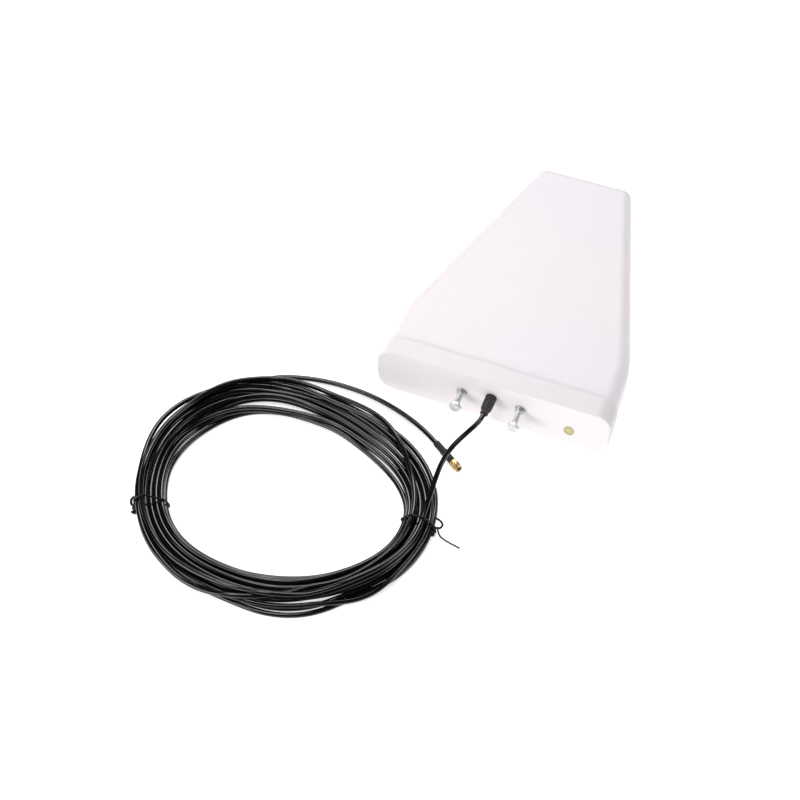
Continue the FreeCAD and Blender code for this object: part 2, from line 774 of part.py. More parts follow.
def sma_shrink_tube():
    profile = [
        (CABLE_RADIUS, 0),
        (SHRINK_REAR_RADIUS, 0),
        (SHRINK_REAR_RADIUS, SHRINK_STEP_START),
        (SHRINK_FRONT_RADIUS, SHRINK_STEP_END),
        (SHRINK_FRONT_RADIUS, SHRINK_LENGTH),
        (FERRULE_RADIUS, SHRINK_LENGTH),
        (FERRULE_RADIUS, FERRULE_START),
        (CABLE_RADIUS, FERRULE_START),
    ]
    return place_connector(spun(profile))


def sma_body():
    """Crimp ferrule, barrel with the groove for the retaining ring, and contact nose, in one piece."""
    profile = [
        (0, FERRULE_START),
        (FERRULE_RADIUS, FERRULE_START),
        (FERRULE_RADIUS, SHRINK_LENGTH),
        (BARREL_RADIUS, SHRINK_LENGTH),
        (BARREL_RADIUS, RING_START),
        (RING_GROOVE, RING_START),
        (RING_GROOVE, RING_START + RING_WIDTH),
        (BARREL_RADIUS, RING_START + RING_WIDTH),
        (BARREL_RADIUS, BARREL_END),
        (NOSE_RADIUS, BARREL_END),
        (NOSE_RADIUS, NOSE_END),
        (DIELECTRIC_RADIUS, NOSE_END),
        (DIELECTRIC_RADIUS, DIELECTRIC_START),
        (0, DIELECTRIC_START),
    ]
    return place_connector(spun(profile))


def sma_retaining_ring():
    """A slotted spring ring in the barrel's groove, which keeps the coupling nut on."""
    end = RING_START + RING_WIDTH
    profile = [(RING_GROOVE, RING_START), (RING_RADIUS, RING_START), (RING_RADIUS, end), (RING_GROOVE, end)]
    slot = box((-RING_SLOT_HALF, RING_START - 1, 0), (RING_SLOT_HALF, end + 1, RING_RADIUS + 1))
    return place_connector(spun(profile).cut(slot))


def sma_dielectric():
    outer = rod_y(DIELECTRIC_RADIUS, 0, 0, DIELECTRIC_START, DIELECTRIC_END)
    return place_connector(outer.cut(rod_y(PIN_RADIUS, 0, 0, PIN_START, DIELECTRIC_END + 1)))


def sma_centre_pin():
    shoulder = PIN_END - 2 * PIN_RADIUS
    profile = [
        (0, PIN_START),
        (PIN_RADIUS, PIN_START),
        (PIN_RADIUS, shoulder),
        (PIN_RADIUS / 3, PIN_END),
        (0, PIN_END),
    ]
    return place_connector(spun(profile))


def sma_coupling_nut():
    """The nut that turns freely on the barrel: hexagonal behind, round at its open end."""
    hexed = moved(hexagon(COUPLING_FLATS, COUPLING_HEX_END - COUPLING_START), 0, COUPLING_START, 0)
    corner = COUPLING_FLATS / math.sqrt(3)
    profile = [
        (0, COUPLING_START),
        (corner - COUPLING_BEVEL, COUPLING_START),
        (corner, COUPLING_START + COUPLING_BEVEL),
        (corner, COUPLING_HEX_END - COUPLING_BEVEL),
        (corner - COUPLING_BEVEL, COUPLING_HEX_END),
        (0, COUPLING_HEX_END),
    ]
    nut = hexed.common(spun(profile)).fuse(rod_y(COUPLING_NOSE, 0, 0, COUPLING_HEX_END, COUPLING_END))
    nut = nut.cut(rod_y(COUPLING_BORE, 0, 0, COUPLING_START + COUPLING_WALL, COUPLING_END + 1))
    nut = nut.cut(rod_y(COUPLING_REAR_HOLE, 0, 0, COUPLING_START - 1, COUPLING_END))
    return place_connector(nut)


# ---------------------------------------------------------------- the whole antenna


def pieces():
    """Every piece by the name of its node."""
    rods = elements()
    upper_rods = [rod for name, rod in rods.items() if name.endswith("upper")]
    lower_rods = [rod for name, rod in rods.items() if name.endswith("lower")]
    feed_hole_start = LOWER_BOOM_FRONT - FEED_SCREW_BITE
    feed_hole = rod_y(SCREW_RADIUS, 0, LOWER_ROD_Z, feed_hole_start, LOWER_BOOM_FRONT + 1)
    named = {
        "base_cap": base_cap(),
        "radome": radome(),
        "cap_gasket": cap_gasket(),
        "cap_screws": cap_screws(),
        "inspection_sticker": inspection_sticker(),
        "bolt_left": hex_bolt(-BOLT_X, LEFT_BOLT_OUT),
        "bolt_right": hex_bolt(BOLT_X, RIGHT_BOLT_OUT),
        "flat_washers": flat_washers(),
        "spring_washers": spring_washers(),
        "mount_plate": mount_plate(),
        "weld_nuts": weld_nuts(),
        "plate_screws": plate_screws(),
        "strain_relief_boot": strain_relief_boot(),
        "boot_lock_nut": boot_lock_nut(),
        "boom_upper": boom(UPPER_BOOM_Z, UPPER_BOOM_FRONT, upper_rods),
        "boom_lower": boom(LOWER_BOOM_Z, LOWER_BOOM_FRONT, lower_rods + [feed_hole]),
        "boom_short_block": boom_short_block(),
        "boom_screws": boom_screws(),
        "boom_bracket": boom_bracket(),
        "bracket_screws": bracket_screws(),
        "tip_cradle": tip_cradle(),
        "feed_coax": feed_coax(),
        "coax_clips": coax_clips(),
        "feed_insulator": feed_insulator(),
        "feed_link": feed_link(),
        "feed_screw": feed_screw(),
        "cord_lead": cord_lead(),
        "cord_coil": cord_coil(),
        "cord_tail": cord_tail(),
        "sma_shrink_tube": sma_shrink_tube(),
        "sma_body": sma_body(),
        "sma_retaining_ring": sma_retaining_ring(),
        "sma_dielectric": sma_dielectric(),
        "sma_centre_pin": sma_centre_pin(),
        "sma_coupling_nut": sma_coupling_nut(),
    }
    named.update(rods)
    for place, y in SPACER_YS.items():
        named[f"boom_spacer_{place}"] = boom_spacer(y)
    for side, angle in TIE_ANGLES.items():
        named[f"tie_{side}"] = cord_tie(angle)
    return named


def export():
    os.makedirs("parts", exist_ok=True)
    for name, shape in pieces().items():
        if not shape.isValid():
            print("not valid:", name)
        shape.translate(ROW_SHIFT)
        shape.exportStep(f"parts/{name}.step")


export()
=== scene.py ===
import bpy
import json
import math
import numpy as np
from mathutils import Matrix, Vector


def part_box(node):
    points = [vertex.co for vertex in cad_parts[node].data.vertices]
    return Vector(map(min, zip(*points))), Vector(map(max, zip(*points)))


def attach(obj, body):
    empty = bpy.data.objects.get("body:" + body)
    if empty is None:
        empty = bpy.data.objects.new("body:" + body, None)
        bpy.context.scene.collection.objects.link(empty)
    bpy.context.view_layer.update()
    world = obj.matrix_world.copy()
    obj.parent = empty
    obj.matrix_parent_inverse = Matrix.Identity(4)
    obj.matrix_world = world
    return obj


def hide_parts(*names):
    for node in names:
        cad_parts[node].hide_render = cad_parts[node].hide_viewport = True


# The looks of a log-periodic antenna: its white casing, two zinc bolts, a rubber boot, and ten metres
# of black coaxial cable lying in a tied coil that ends in a gold plug. Metres.

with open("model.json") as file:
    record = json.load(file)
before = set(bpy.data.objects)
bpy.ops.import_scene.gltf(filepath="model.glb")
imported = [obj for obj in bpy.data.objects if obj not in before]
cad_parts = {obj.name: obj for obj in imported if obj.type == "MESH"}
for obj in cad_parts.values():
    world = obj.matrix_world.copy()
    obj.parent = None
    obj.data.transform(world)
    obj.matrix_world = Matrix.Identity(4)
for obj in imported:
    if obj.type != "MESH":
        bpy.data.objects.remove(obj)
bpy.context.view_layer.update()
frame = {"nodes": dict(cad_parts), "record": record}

BODY = "antenna"

# ---------------------------------------------------------------- places taken from the frame

CAP_FACE_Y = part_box("base_cap")[0].y


def from_cap(x, y, z):
    """A point given from the middle of the cap's rear face, at floor level, in the row's frame."""
    return Vector((x, y + CAP_FACE_Y, z))


def mount(name):
    return next(m for m in frame["record"]["mounts"] if m["name"] == name)


PLUG_AXIS = Vector(mount("sma_plug")["axis"])
PLUG_MOUTH = Vector(mount("sma_plug")["pos_m"])
PLUG_LENGTH = 0.0382


def along_plug(distance):
    """The point on the plug's axis this far from the cable end of its shrink tube."""
    return PLUG_MOUTH + PLUG_AXIS * (distance - PLUG_LENGTH)


# ---------------------------------------------------------------- camera, light and floor

CAMERA_AZIMUTH = math.radians(21.58)
CAMERA_ELEVATION = math.radians(52.24)
CAMERA_DISTANCE = 1.3212
CAMERA_TARGET = from_cap(-0.0913, -0.0099, 0.0)
CAMERA_LENS = 59.3
SKY_STRENGTH = 0.08
FLOOR_REACH = 6.0
FLOOR_GAP = 0.0002
FLOOR_GLOW = 0.62


def towards(azimuth, elevation):
    """A unit vector from the object towards a viewer at that azimuth and elevation."""
    flat = math.cos(elevation)
    return Vector((math.sin(azimuth) * flat, -math.cos(azimuth) * flat, math.sin(elevation)))


def make_camera():
    camera = bpy.data.objects.new("camera", bpy.data.cameras.new("camera"))
    bpy.context.scene.collection.objects.link(camera)
    back = towards(CAMERA_AZIMUTH, CAMERA_ELEVATION)
    camera.location = CAMERA_TARGET + back * CAMERA_DISTANCE
    camera.rotation_mode = "QUATERNION"
    camera.rotation_quaternion = (-back).to_track_quat("-Z", "Y")
    camera.data.lens = CAMERA_LENS
    camera.data.clip_end = 20
    bpy.context.scene.camera = camera


def area_light(name, azimuth, elevation, distance, size, power):
    lamp = bpy.data.lights.new(name, "AREA")
    lamp.shape = "RECTANGLE"
    lamp.size, lamp.size_y = size
    lamp.energy = power
    light = bpy.data.objects.new(name, lamp)
    bpy.context.scene.collection.objects.link(light)
    back = towards(math.radians(azimuth), math.radians(elevation))
    light.location = CAMERA_TARGET + back * distance
    light.rotation_mode = "QUATERNION"
    light.rotation_quaternion = (-back).to_track_quat("-Z", "Y")
    return light


def make_lights():
    world = bpy.data.worlds.new("studio")
    bpy.context.scene.world = world
    world.use_nodes = True
    sky = world.node_tree.nodes["Background"]
    sky.inputs["Color"].default_value = (1.0, 1.0, 1.0, 1)
    sky.inputs["Strength"].default_value = SKY_STRENGTH
    area_light("back", 201.6, 52, 1.8, (1.0, 0.6), 18)
    area_light("key", -35, 72, 1.8, (0.5, 0.5), 8)
    area_light("front", -34, 22, 2.2, (1.6, 0.9), 33)
    area_light("right", 95, 25, 2.2, (0.9, 0.5), 11)
    bpy.context.scene.view_settings.view_transform = "Standard"


def make_floor():
    """A wide sheet of pale paper, a hair below the part so that the two never share a surface."""
    mesh = bpy.data.meshes.new("floor")
    corners = [(x * FLOOR_REACH, y * FLOOR_REACH, 0) for x, y in ((-1, -1), (1, -1), (1, 1), (-1, 1))]
    mesh.from_pydata(corners, [], [(0, 1, 2, 3)])
    floor = bpy.data.objects.new("floor", mesh)
    bpy.context.scene.collection.objects.link(floor)
    floor.location.z = -FLOOR_GAP
    m = Material("floor_paper", (0.93, 0.93, 0.93), roughness=0.9)
    m.set("Emission Color", (1, 1, 1, 1))
    m.set("Emission Strength", FLOOR_GLOW)
    m.put_on(floor)


# ---------------------------------------------------------------- materials


class Material:
    """A Principled material with a few helpers for procedural detail."""

    def __init__(self, name, colour, roughness=0.5, metallic=0.0):
        self.data = bpy.data.materials.new(name)
        self.data.use_nodes = True
        self.tree = self.data.node_tree
        self.shader = self.tree.nodes["Principled BSDF"]
        self.set("Base Color", (*colour, 1))
        self.set("Roughness", roughness)
        self.set("Metallic", metallic)
        self.data.diffuse_color = (*colour, 1)

    def set(self, socket, value):
        self.shader.inputs[socket].default_value = value

    def node(self, kind, **values):
        node = self.tree.nodes.new(kind)
        for key, value in values.items():
            if key in node.inputs:
                node.inputs[key].default_value = value
            else:
                setattr(node, key, value)
        return node

    def link(self, output, input_socket):
        self.tree.links.new(output, input_socket)

    def place(self):
        """Object coordinates, which are the row's own metres."""
        return self.node("ShaderNodeTexCoord").outputs["Object"]

    def noise(self, size, detail=3.0, roughness=0.55, stretch=None):
        """Noise whose features are about this many metres across."""
        source = self.place()
        if stretch:
            mapping = self.node("ShaderNodeMapping")
            mapping.inputs["Scale"].default_value = stretch
            self.link(source, mapping.inputs["Vector"])
            source = mapping.outputs["Vector"]
        noise = self.node("ShaderNodeTexNoise", Scale=1 / size, Detail=detail, Roughness=roughness)
        self.link(source, noise.inputs["Vector"])
        return noise.outputs["Fac"]

    def remap(self, value, low, high, to_low, to_high):
        ramp = self.node("ShaderNodeMapRange")
        for name, number in (("From Min", low), ("From Max", high), ("To Min", to_low), ("To Max", to_high)):
            ramp.inputs[name].default_value = number
        self.link(value, ramp.inputs["Value"])
        return ramp.outputs["Result"]

    def mix(self, factor, colour_a, colour_b):
        mix = self.node("ShaderNodeMix", data_type="RGBA")
        self.link(factor, mix.inputs[0])
        mix.inputs[6].default_value = (*colour_a, 1)
        mix.inputs[7].default_value = (*colour_b, 1)
        return mix.outputs[2]

    def blend(self, factor, output_a, output_b):
        mix = self.node("ShaderNodeMix", data_type="RGBA")
        self.link(factor, mix.inputs[0])
        self.link(output_a, mix.inputs[6])
        self.link(output_b, mix.inputs[7])
        return mix.outputs[2]

    def maths(self, operation, a, b=None):
        node = self.node("ShaderNodeMath", operation=operation)
        for socket, value in zip(node.inputs, (a, b)):
            if value is None:
                continue
            if isinstance(value, (int, float)):
                socket.default_value = value
            else:
                self.link(value, socket)
        return node.outputs[0]

    def colour(self, output):
        self.link(output, self.shader.inputs["Base Color"])

    def rough(self, output):
        self.link(output, self.shader.inputs["Roughness"])

    def bump(self, height, distance, strength=1.0):
        bump = self.node("ShaderNodeBump", Strength=strength, Distance=distance)
        self.link(height, bump.inputs["Height"])
        previous = self.shader.inputs["Normal"]
        if previous.is_linked:
            self.link(previous.links[0].from_socket, bump.inputs["Normal"])
        self.link(bump.outputs["Normal"], previous)

    def put_on(self, *objects):
        for obj in objects:
            obj.data.materials.clear()
            obj.data.materials.append(self.data)


def casing_plastic(name, colour, tint, cool):
    """White moulded ABS: faint cloudy tints, fine orange peel, slightly uneven gloss."""
    m = Material(name, colour, roughness=0.42)
    m.set("Specular IOR Level", 0.25)
    warm_or_cool = m.mix(m.remap(m.noise(0.16, 1.0), 0.42, 0.60, 0, 1), tint, cool)
    plain = m.mix(m.noise(0.02), tuple(c * 0.985 for c in colour), colour)
    m.colour(m.blend(m.remap(m.noise(0.03, 4.0), 0.3, 0.7, 0.25, 0.65), plain, warm_or_cool))
    m.rough(m.remap(m.noise(0.008, 5.0), 0.3, 0.7, 0.38, 0.50))
    m.bump(m.noise(0.0011, 2.0), 0.00003, 0.5)
    m.bump(m.noise(0.03, 1.0), 0.0003, 0.25)
    return m


def cable_jacket():
    """Glossy black PVC drawn over a braid, whose slanting strands show through as fine ribs."""
    m = Material("cable_jacket", (0.006, 0.006, 0.007), roughness=0.25)
    m.set("Specular IOR Level", 0.48)
    split = m.node("ShaderNodeSeparateXYZ")
    m.link(m.node("ShaderNodeTexCoord").outputs["UV"], split.inputs["Vector"])
    along = m.maths("DIVIDE", split.outputs["X"], BRAID_PITCH)
    lay = m.maths("ADD", along, m.maths("MULTIPLY", split.outputs["Y"], BRAID_STARTS))
    ribs = m.maths("SINE", m.maths("MULTIPLY", lay, 2 * math.pi))
    m.bump(ribs, 0.000030, 0.25)
    m.bump(m.noise(0.010, 1.0), 0.00008, 0.15)
    cloud = m.remap(m.noise(0.012, 4.0), 0.35, 0.75, 0, 1)
    m.colour(m.mix(cloud, (0.0015, 0.0015, 0.002), (0.004, 0.004, 0.005)))
    m.rough(m.remap(m.noise(0.006, 4.0), 0.3, 0.7, 0.08, 0.15))
    return m


def rubber(name, colour, grain):
    m = Material(name, colour, roughness=0.62)
    m.set("Specular IOR Level", 0.35)
    worn = tuple(c * 2.6 + 0.02 for c in colour)
    m.colour(m.mix(m.remap(m.noise(0.0016, 3.0, 0.7), 0.48, 0.68, 0, 1), colour, worn))
    m.rough(m.remap(m.noise(0.002, 4.0), 0.3, 0.7, 0.50, 0.72))
    m.bump(m.noise(grain, 4.0, 0.7), 0.00012, 0.8)
    return m


def shrink_plastic():
    m = Material("shrink_plastic", (0.017, 0.017, 0.020), roughness=0.5)
    m.set("Specular IOR Level", 0.22)
    cloud = m.remap(m.noise(0.003, 4.0), 0.35, 0.7, 0, 1)
    m.colour(m.mix(cloud, (0.010, 0.010, 0.012), (0.024, 0.024, 0.028)))
    m.rough(m.remap(m.noise(0.002, 4.0), 0.3, 0.7, 0.42, 0.58))
    m.bump(m.noise(0.0005, 3.0), 0.00004, 0.6)
    m.bump(m.noise(0.005, 2.0), 0.0003, 0.5)
    return m


def zinc(name, tone, metallic=1.0):
    """Zinc plating with faint clouding and drawn scratches; less metallic where its film is milky."""
    m = Material(name, (tone, tone * 1.01, tone * 1.03), roughness=0.25, metallic=metallic)
    low = (tone * 0.86, tone * 0.88, tone * 0.91)
    high = (min(1, tone * 1.12), min(1, tone * 1.12), min(1, tone * 1.12))
    m.colour(m.mix(m.remap(m.noise(0.0022, 4.0), 0.35, 0.7, 0, 1), low, high))
    m.rough(m.remap(m.noise(0.0010, 5.0, 0.7), 0.3, 0.75, 0.24, 0.42))
    m.bump(m.noise(0.0006, 3.0, stretch=(1, 0.15, 1)), 0.00002, 0.5)
    return m


def gold():
    m = Material("gold_plating", (0.93, 0.68, 0.33), roughness=0.18, metallic=1.0)
    m.colour(m.mix(m.remap(m.noise(0.002, 3.0), 0.35, 0.7, 0, 1), (0.50, 0.33, 0.14), (0.61, 0.45, 0.24)))
    m.rough(m.remap(m.noise(0.0008, 4.0), 0.3, 0.7, 0.30, 0.42))
    m.bump(m.noise(0.0006, 3.0), 0.00001, 0.4)
    return m


def aluminium():
    m = Material("bare_aluminium", (0.80, 0.81, 0.83), roughness=0.35, metallic=1.0)
    m.colour(m.mix(m.remap(m.noise(0.004, 4.0), 0.3, 0.7, 0, 1), (0.72, 0.73, 0.75), (0.86, 0.87, 0.88)))
    m.rough(m.remap(m.noise(0.001, 5.0, stretch=(0.1, 0.1, 1)), 0.3, 0.7, 0.28, 0.46))
    m.bump(m.noise(0.0006, 3.0, stretch=(1, 0.08, 1)), 0.00002, 0.5)
    return m


def plain_plastic(name, colour, roughness=0.45, size=0.002):
    m = Material(name, colour, roughness=roughness)
    darker = tuple(c * 0.9 for c in colour)
    m.colour(m.mix(m.noise(size * 4, 3.0), darker, colour))
    m.rough(m.remap(m.noise(size, 4.0), 0.3, 0.7, roughness - 0.07, roughness + 0.09))
    m.bump(m.noise(size / 3, 3.0), 0.00003, 0.5)
    return m


def brass():
    m = Material("feed_brass", (0.80, 0.58, 0.28), roughness=0.3, metallic=1.0)
    m.colour(m.mix(m.noise(0.003, 4.0), (0.70, 0.48, 0.21), (0.86, 0.66, 0.36)))
    m.rough(m.remap(m.noise(0.001, 4.0), 0.3, 0.7, 0.24, 0.4))
    return m


def sticker_film(centre, half_width, half_height):
    """Yellowish film with a darker rim and a faint plain ring inside it."""
    m = Material("sticker_film", (0.50, 0.47, 0.16), roughness=0.3)
    shift = m.node("ShaderNodeVectorMath", operation="SUBTRACT")
    shift.inputs[1].default_value = centre
    m.link(m.place(), shift.inputs[0])
    squash = m.node("ShaderNodeVectorMath", operation="MULTIPLY")
    squash.inputs[1].default_value = (1, 1, half_width / half_height)
    m.link(shift.outputs["Vector"], squash.inputs[0])
    length = m.node("ShaderNodeVectorMath", operation="LENGTH")
    m.link(squash.outputs["Vector"], length.inputs[0])
    share = m.maths("DIVIDE", length.outputs["Value"], half_width)
    rings = m.node("ShaderNodeValToRGB")
    stops = (
        (0.0, (0.58, 0.52, 0.22)),
        (0.42, (0.52, 0.48, 0.18)),
        (0.50, (0.30, 0.28, 0.14)),
        (0.58, (0.54, 0.50, 0.19)),
        (0.80, (0.48, 0.45, 0.15)),
        (0.88, (0.21, 0.22, 0.08)),
        (1.0, (0.28, 0.29, 0.11)),
    )
    while len(rings.color_ramp.elements) < len(stops):
        rings.color_ramp.elements.new(0.5)
    for element, (position, colour) in zip(rings.color_ramp.elements, stops):
        element.position = position
        element.color = (*colour, 1)
    m.link(share, rings.inputs["Fac"])
    speckle = m.mix(m.noise(0.0006, 4.0), (0.25, 0.23, 0.12), (0.64, 0.57, 0.32))
    m.colour(m.blend(m.remap(m.noise(0.0009, 3.0), 0.45, 0.7, 0, 0.45), rings.outputs["Color"], speckle))
    m.rough(m.remap(m.noise(0.001, 3.0), 0.3, 0.7, 0.22, 0.42))
    m.bump(m.noise(0.0005, 3.0), 0.00002, 0.5)
    return m


# ---------------------------------------------------------------- mesh helpers

SHARP = math.radians(38)


def new_piece(name, vertices, faces, material, slot=None, uvs=None):
    mesh = bpy.data.meshes.new(name)
    mesh.from_pydata([tuple(v) for v in vertices], [], faces)
    if uvs is not None:
        layer = mesh.uv_layers.new(name="UVMap")
        layer.data.foreach_set("uv", np.array(uvs, np.float32).ravel())
    mesh.update()
    mesh.shade_smooth()
    mesh.set_sharp_from_angle(angle=SHARP)
    piece = bpy.data.objects.new(name, mesh)
    bpy.context.scene.collection.objects.link(piece)
    material.put_on(piece)
    return piece


def skin(rings, loop=False):
    """Vertices and faces of a surface over rings of points, each closed on itself. The ends are capped,
    unless the last ring joins the first."""
    count = len(rings[0])
    vertices = [p for ring in rings for p in ring]
    faces = []
    spans = len(rings) if loop else len(rings) - 1
    for i in range(spans):
        here, there = i * count, ((i + 1) % len(rings)) * count
        for j in range(count):
            k = (j + 1) % count
            faces.append((here + j, here + k, there + k, there + j))
    if not loop:
        faces.append(tuple(reversed(range(count))))
        last = (len(rings) - 1) * count
        faces.append(tuple(range(last, last + count)))
    return vertices, faces


def joined(*skins):
    vertices, faces = [], []
    for some_vertices, some_faces in skins:
        start = len(vertices)
        vertices += list(some_vertices)
        faces += [tuple(start + index for index in face) for face in some_faces]
    return vertices, faces


def placed(shape, matrix):
    vertices, faces = shape
    return [matrix @ Vector(v) for v in vertices], faces


def facing(direction, origin):
    """The matrix that takes +Z to a direction and the origin to a point."""
    turn = Vector(direction).to_track_quat("Z", "Y").to_matrix().to_4x4()
    return Matrix.Translation(origin) @ turn


def round_ring(radius, height, count):
    turns = [2 * math.pi * j / count for j in range(count)]
    return [(radius * math.cos(t), radius * math.sin(t), height) for t in turns]


def softened(profile, radius, steps=4):
    """The same (radius, height) outline with its corners rounded off."""
    points = [Vector((*p, 0)) for p in profile]
    out = [profile[0]]
    for before, corner, after in zip(points, points[1:], points[2:]):
        reach = min(radius, (before - corner).length * 0.45, (after - corner).length * 0.45)
        start = corner + (before - corner).normalized() * reach
        end = corner + (after - corner).normalized() * reach
        for step in range(steps + 1):
            t = step / steps
            spot = start * (1 - t) ** 2 + corner * 2 * t * (1 - t) + end * t * t
            out.append(tuple(spot[:2]))
    return out + [profile[-1]]


def turned(profile, count, loop=False):
    """A surface of revolution about Z of (radius, height) points."""
    return skin([round_ring(r, z, count) for r, z in profile], loop=loop)


# How sharp a hexagon's corners are, and how steeply they are chamfered.
HEX_SHARPNESS = 34
HEX_SLOPE = math.tan(math.radians(30))


def hex_reach(turn, half_flats):
    """How far a hexagon with slightly rounded corners reaches at an angle."""
    total = sum(abs(math.cos(turn - math.radians(60 * side))) ** HEX_SHARPNESS for side in range(3))
    return half_flats / total ** (1 / HEX_SHARPNESS)


def hex_ring(half_flats, height_of, count):
    ring = []
    for j in range(count):
        turn = 2 * math.pi * j / count
        reach = hex_reach(turn, half_flats)
        ring.append((reach * math.cos(turn), reach * math.sin(turn), height_of(reach)))
    return ring


THREAD_STEPS = 8
# Shares of half a pitch: the flat root, and the flank that rises from it.
THREAD_FLAT = 0.12
THREAD_FLANK = 0.70


def thread_rings(crest, root, pitch, start, end, count, fade):
    """Rings of a helical thread between two heights, fading out over a length at each end."""
    steps = max(2, round((end - start) / pitch * THREAD_STEPS))
    rings = []
    for i in range(steps + 1):
        z = start + (end - start) * i / steps
        share = min(1, (z - start) / fade, (end - z) / fade) if fade else 1
        ring = []
        for j in range(count):
            turn = 2 * math.pi * j / count
            phase = (z / pitch - j / count) % 1
            wave = abs(2 * phase - 1)
            rise = min(1, max(0, (wave - THREAD_FLAT) / THREAD_FLANK))
            radius = crest + (root - crest) * (1 - rise) * max(0, share)
            ring.append((radius * math.cos(turn), radius * math.sin(turn), z))
        rings.append(ring)
    return rings


# ---------------------------------------------------------------- cable

CABLE_RADIUS = 0.0025
BRAID_PITCH = 0.0016
BRAID_STARTS = 10

LEAD_ROUTE = (
    (0.0000, -0.0220, 0.0356),
    (-0.0008, -0.0300, 0.0354),
    (-0.0039, -0.0382, 0.0343),
    (-0.0090, -0.0476, 0.0318),
    (-0.0170, -0.0620, 0.0263),
    (-0.0212, -0.0790, 0.0212),
    (-0.0208, -0.0970, 0.0182),
    (-0.0192, -0.1135, 0.0164),
    (-0.0184, -0.1290, 0.0142),
)
TAIL_ROUTE = (
    (-0.2560, -0.0720, 0.0026),
    (-0.2405, -0.0495, 0.0026),
    (-0.2200, -0.0311, 0.0026),
    (-0.1938, -0.0216, 0.0026),
    (-0.1663, -0.0165, 0.0026),
    (-0.1420, -0.0157, 0.0026),
    (-0.1186, -0.0173, 0.0026),
    (-0.0937, -0.0227, 0.0026),
    (-0.0700, -0.0310, 0.0030),
)
LAST_RUN = 0.024
FERRULE_START = 0.012

# The coil, seen from above, in degrees about its middle: the cable is laid from the tail's end, at the
# top, anticlockwise, and its last turn leaves on top of the right tie.
COIL_MIDDLE = (-0.1430, -0.1560)
COIL_RADIUS = 0.1183
COIL_LOBES = ((1, 0.0102, 187.0), (2, 0.0125, -4.0), (3, 0.0024, 47.0), (4, 0.0006, 74.0), (5, 0.0008, 30.0))
COIL_STEP = 7.5
LEFT_TIE = 207.5
RIGHT_TIE = 7.5
TIES = (LEFT_TIE, RIGHT_TIE)
# Where the bundle is held together, and in how many degrees it opens out from there; the left tie holds
# it together for some way beyond itself.
HELD = ((LEFT_TIE - 15, 42.0), (LEFT_TIE, 58.0), (RIGHT_TIE, 58.0))
TIED_HALF = 0.0126
FAN_LOW, FAN_HIGH = 0.0159, 0.0188
FAN_TOP = 114.0
# Where each turn lies across the bundle, from 1, outside, to -1, inside, at the left tie and then at
# the right one: a bottom row of six, five on top of them, and two that cross over them all.
TURNS = (
    (1.0, 1.0),
    (0.6, 0.6),
    (0.2, 0.2),
    (-0.2, -0.2),
    (-0.6, -0.6),
    (-1.0, -1.0),
    (-0.8, -0.8),
    (-0.4, -0.4),
    (0.0, 0.0),
    (0.4, 0.4),
    (0.8, 0.8),
    (0.95, -0.5),
    (0.6, 0.28),
)
# More such places, between the ties: turn, angle, place.
CROSSINGS = (
    (0, 143.4, 0.55),
    (10, 170.0, 0.55),
    (11, 67.0, 0.56),
    (11, 91.0, 0.35),
    (11, 127.0, 0.85),
    (11, 168.0, 1.04),
    (11, 190.0, 0.80),
    (11, 252.0, 1.17),
    (11, 307.0, -0.15),
    (12, 75.0, 0.97),
    (12, 110.0, 0.95),
    (12, 165.0, 0.35),
    (12, 290.0, 0.35),
)
# Single turns that stray: turn, angle, reach of the bulge in degrees, and how far outwards it goes.
STRAYS = (
    (0, 258.0, 22.0, -0.0030),
    (0, 294.0, 24.0, 0.0035),
    (0, 322.0, 18.0, -0.0025),
    (1, 42.0, 40.0, 0.0040),
    (1, 292.0, 32.0, 0.0030),
    (2, 330.0, 35.0, 0.0040),
    (4, 127.0, 44.0, 0.0036),
    (5, 120.0, 45.0, -0.0030),
    (5, 162.0, 30.0, -0.0034),
    (5, 290.0, 30.0, -0.0020),
    (6, 35.0, 30.0, -0.0025),
    (6, 122.0, 45.0, -0.0050),
    (7, 127.0, 50.0, -0.0116),
    (10, 326.0, 24.0, 0.0060),
)
# The steepest slope at which the cable climbs onto others, and the stretch just laid, in degrees of the
# coil, that it doesn't rest on.
CLIMB = 0.12
JUST_LAID = 24.0
# The whole bundle is pressed in a little beyond the left tie.
DENT, DENT_PLACE, DENT_REACH = 0.0012, 196.0, 26.0
TIE_LIFT = 0.0013
TIE_LIFT_REACH = 14.0


def eased(share):
    share = min(max(share, 0), 1)
    return share * share * (3 - 2 * share)


def apart(angle, place):
    return abs((angle - place + 180) % 360 - 180)


def stations():
    """Every angle, turns included, at which the place across the bundle is given, in order."""
    found = [(360 * turn + angle, place) for turn, angle, place in CROSSINGS]
    for turn, (left, right) in enumerate(TURNS):
        found.append((360 * turn + LEFT_TIE, left))
        found.append((360 * turn + 360 + RIGHT_TIE, right))
    return sorted(found)


def place_at(angle, given):
    for (start, place), (end, following) in zip(given, given[1:]):
        if angle <= end:
            return place + (following - place) * eased((angle - start) / (end - start))
    return given[-1][1]


def coil_radius(angle, given):
    turn = math.radians(angle)
    middle = COIL_RADIUS
    for number, height, top in COIL_LOBES:
        middle += height * math.cos(number * turn - math.radians(top))
    upper = 0.5 + 0.5 * math.cos(turn - math.radians(FAN_TOP))
    fan = FAN_LOW + (FAN_HIGH - FAN_LOW) * upper
    half = TIED_HALF + (fan - TIED_HALF) * min(eased(apart(angle, place) / grip) for place, grip in HELD)
    dent = DENT * max(0, 1 - (apart(angle, DENT_PLACE) / DENT_REACH) ** 2) ** 2
    radius = middle - dent + place_at(angle, given) * half
    for number, at, reach, shift in STRAYS:
        away = (angle - 360 * number - at) / reach
        if abs(away) < 1:
            radius += shift * (1 - away * away) ** 2
    return radius


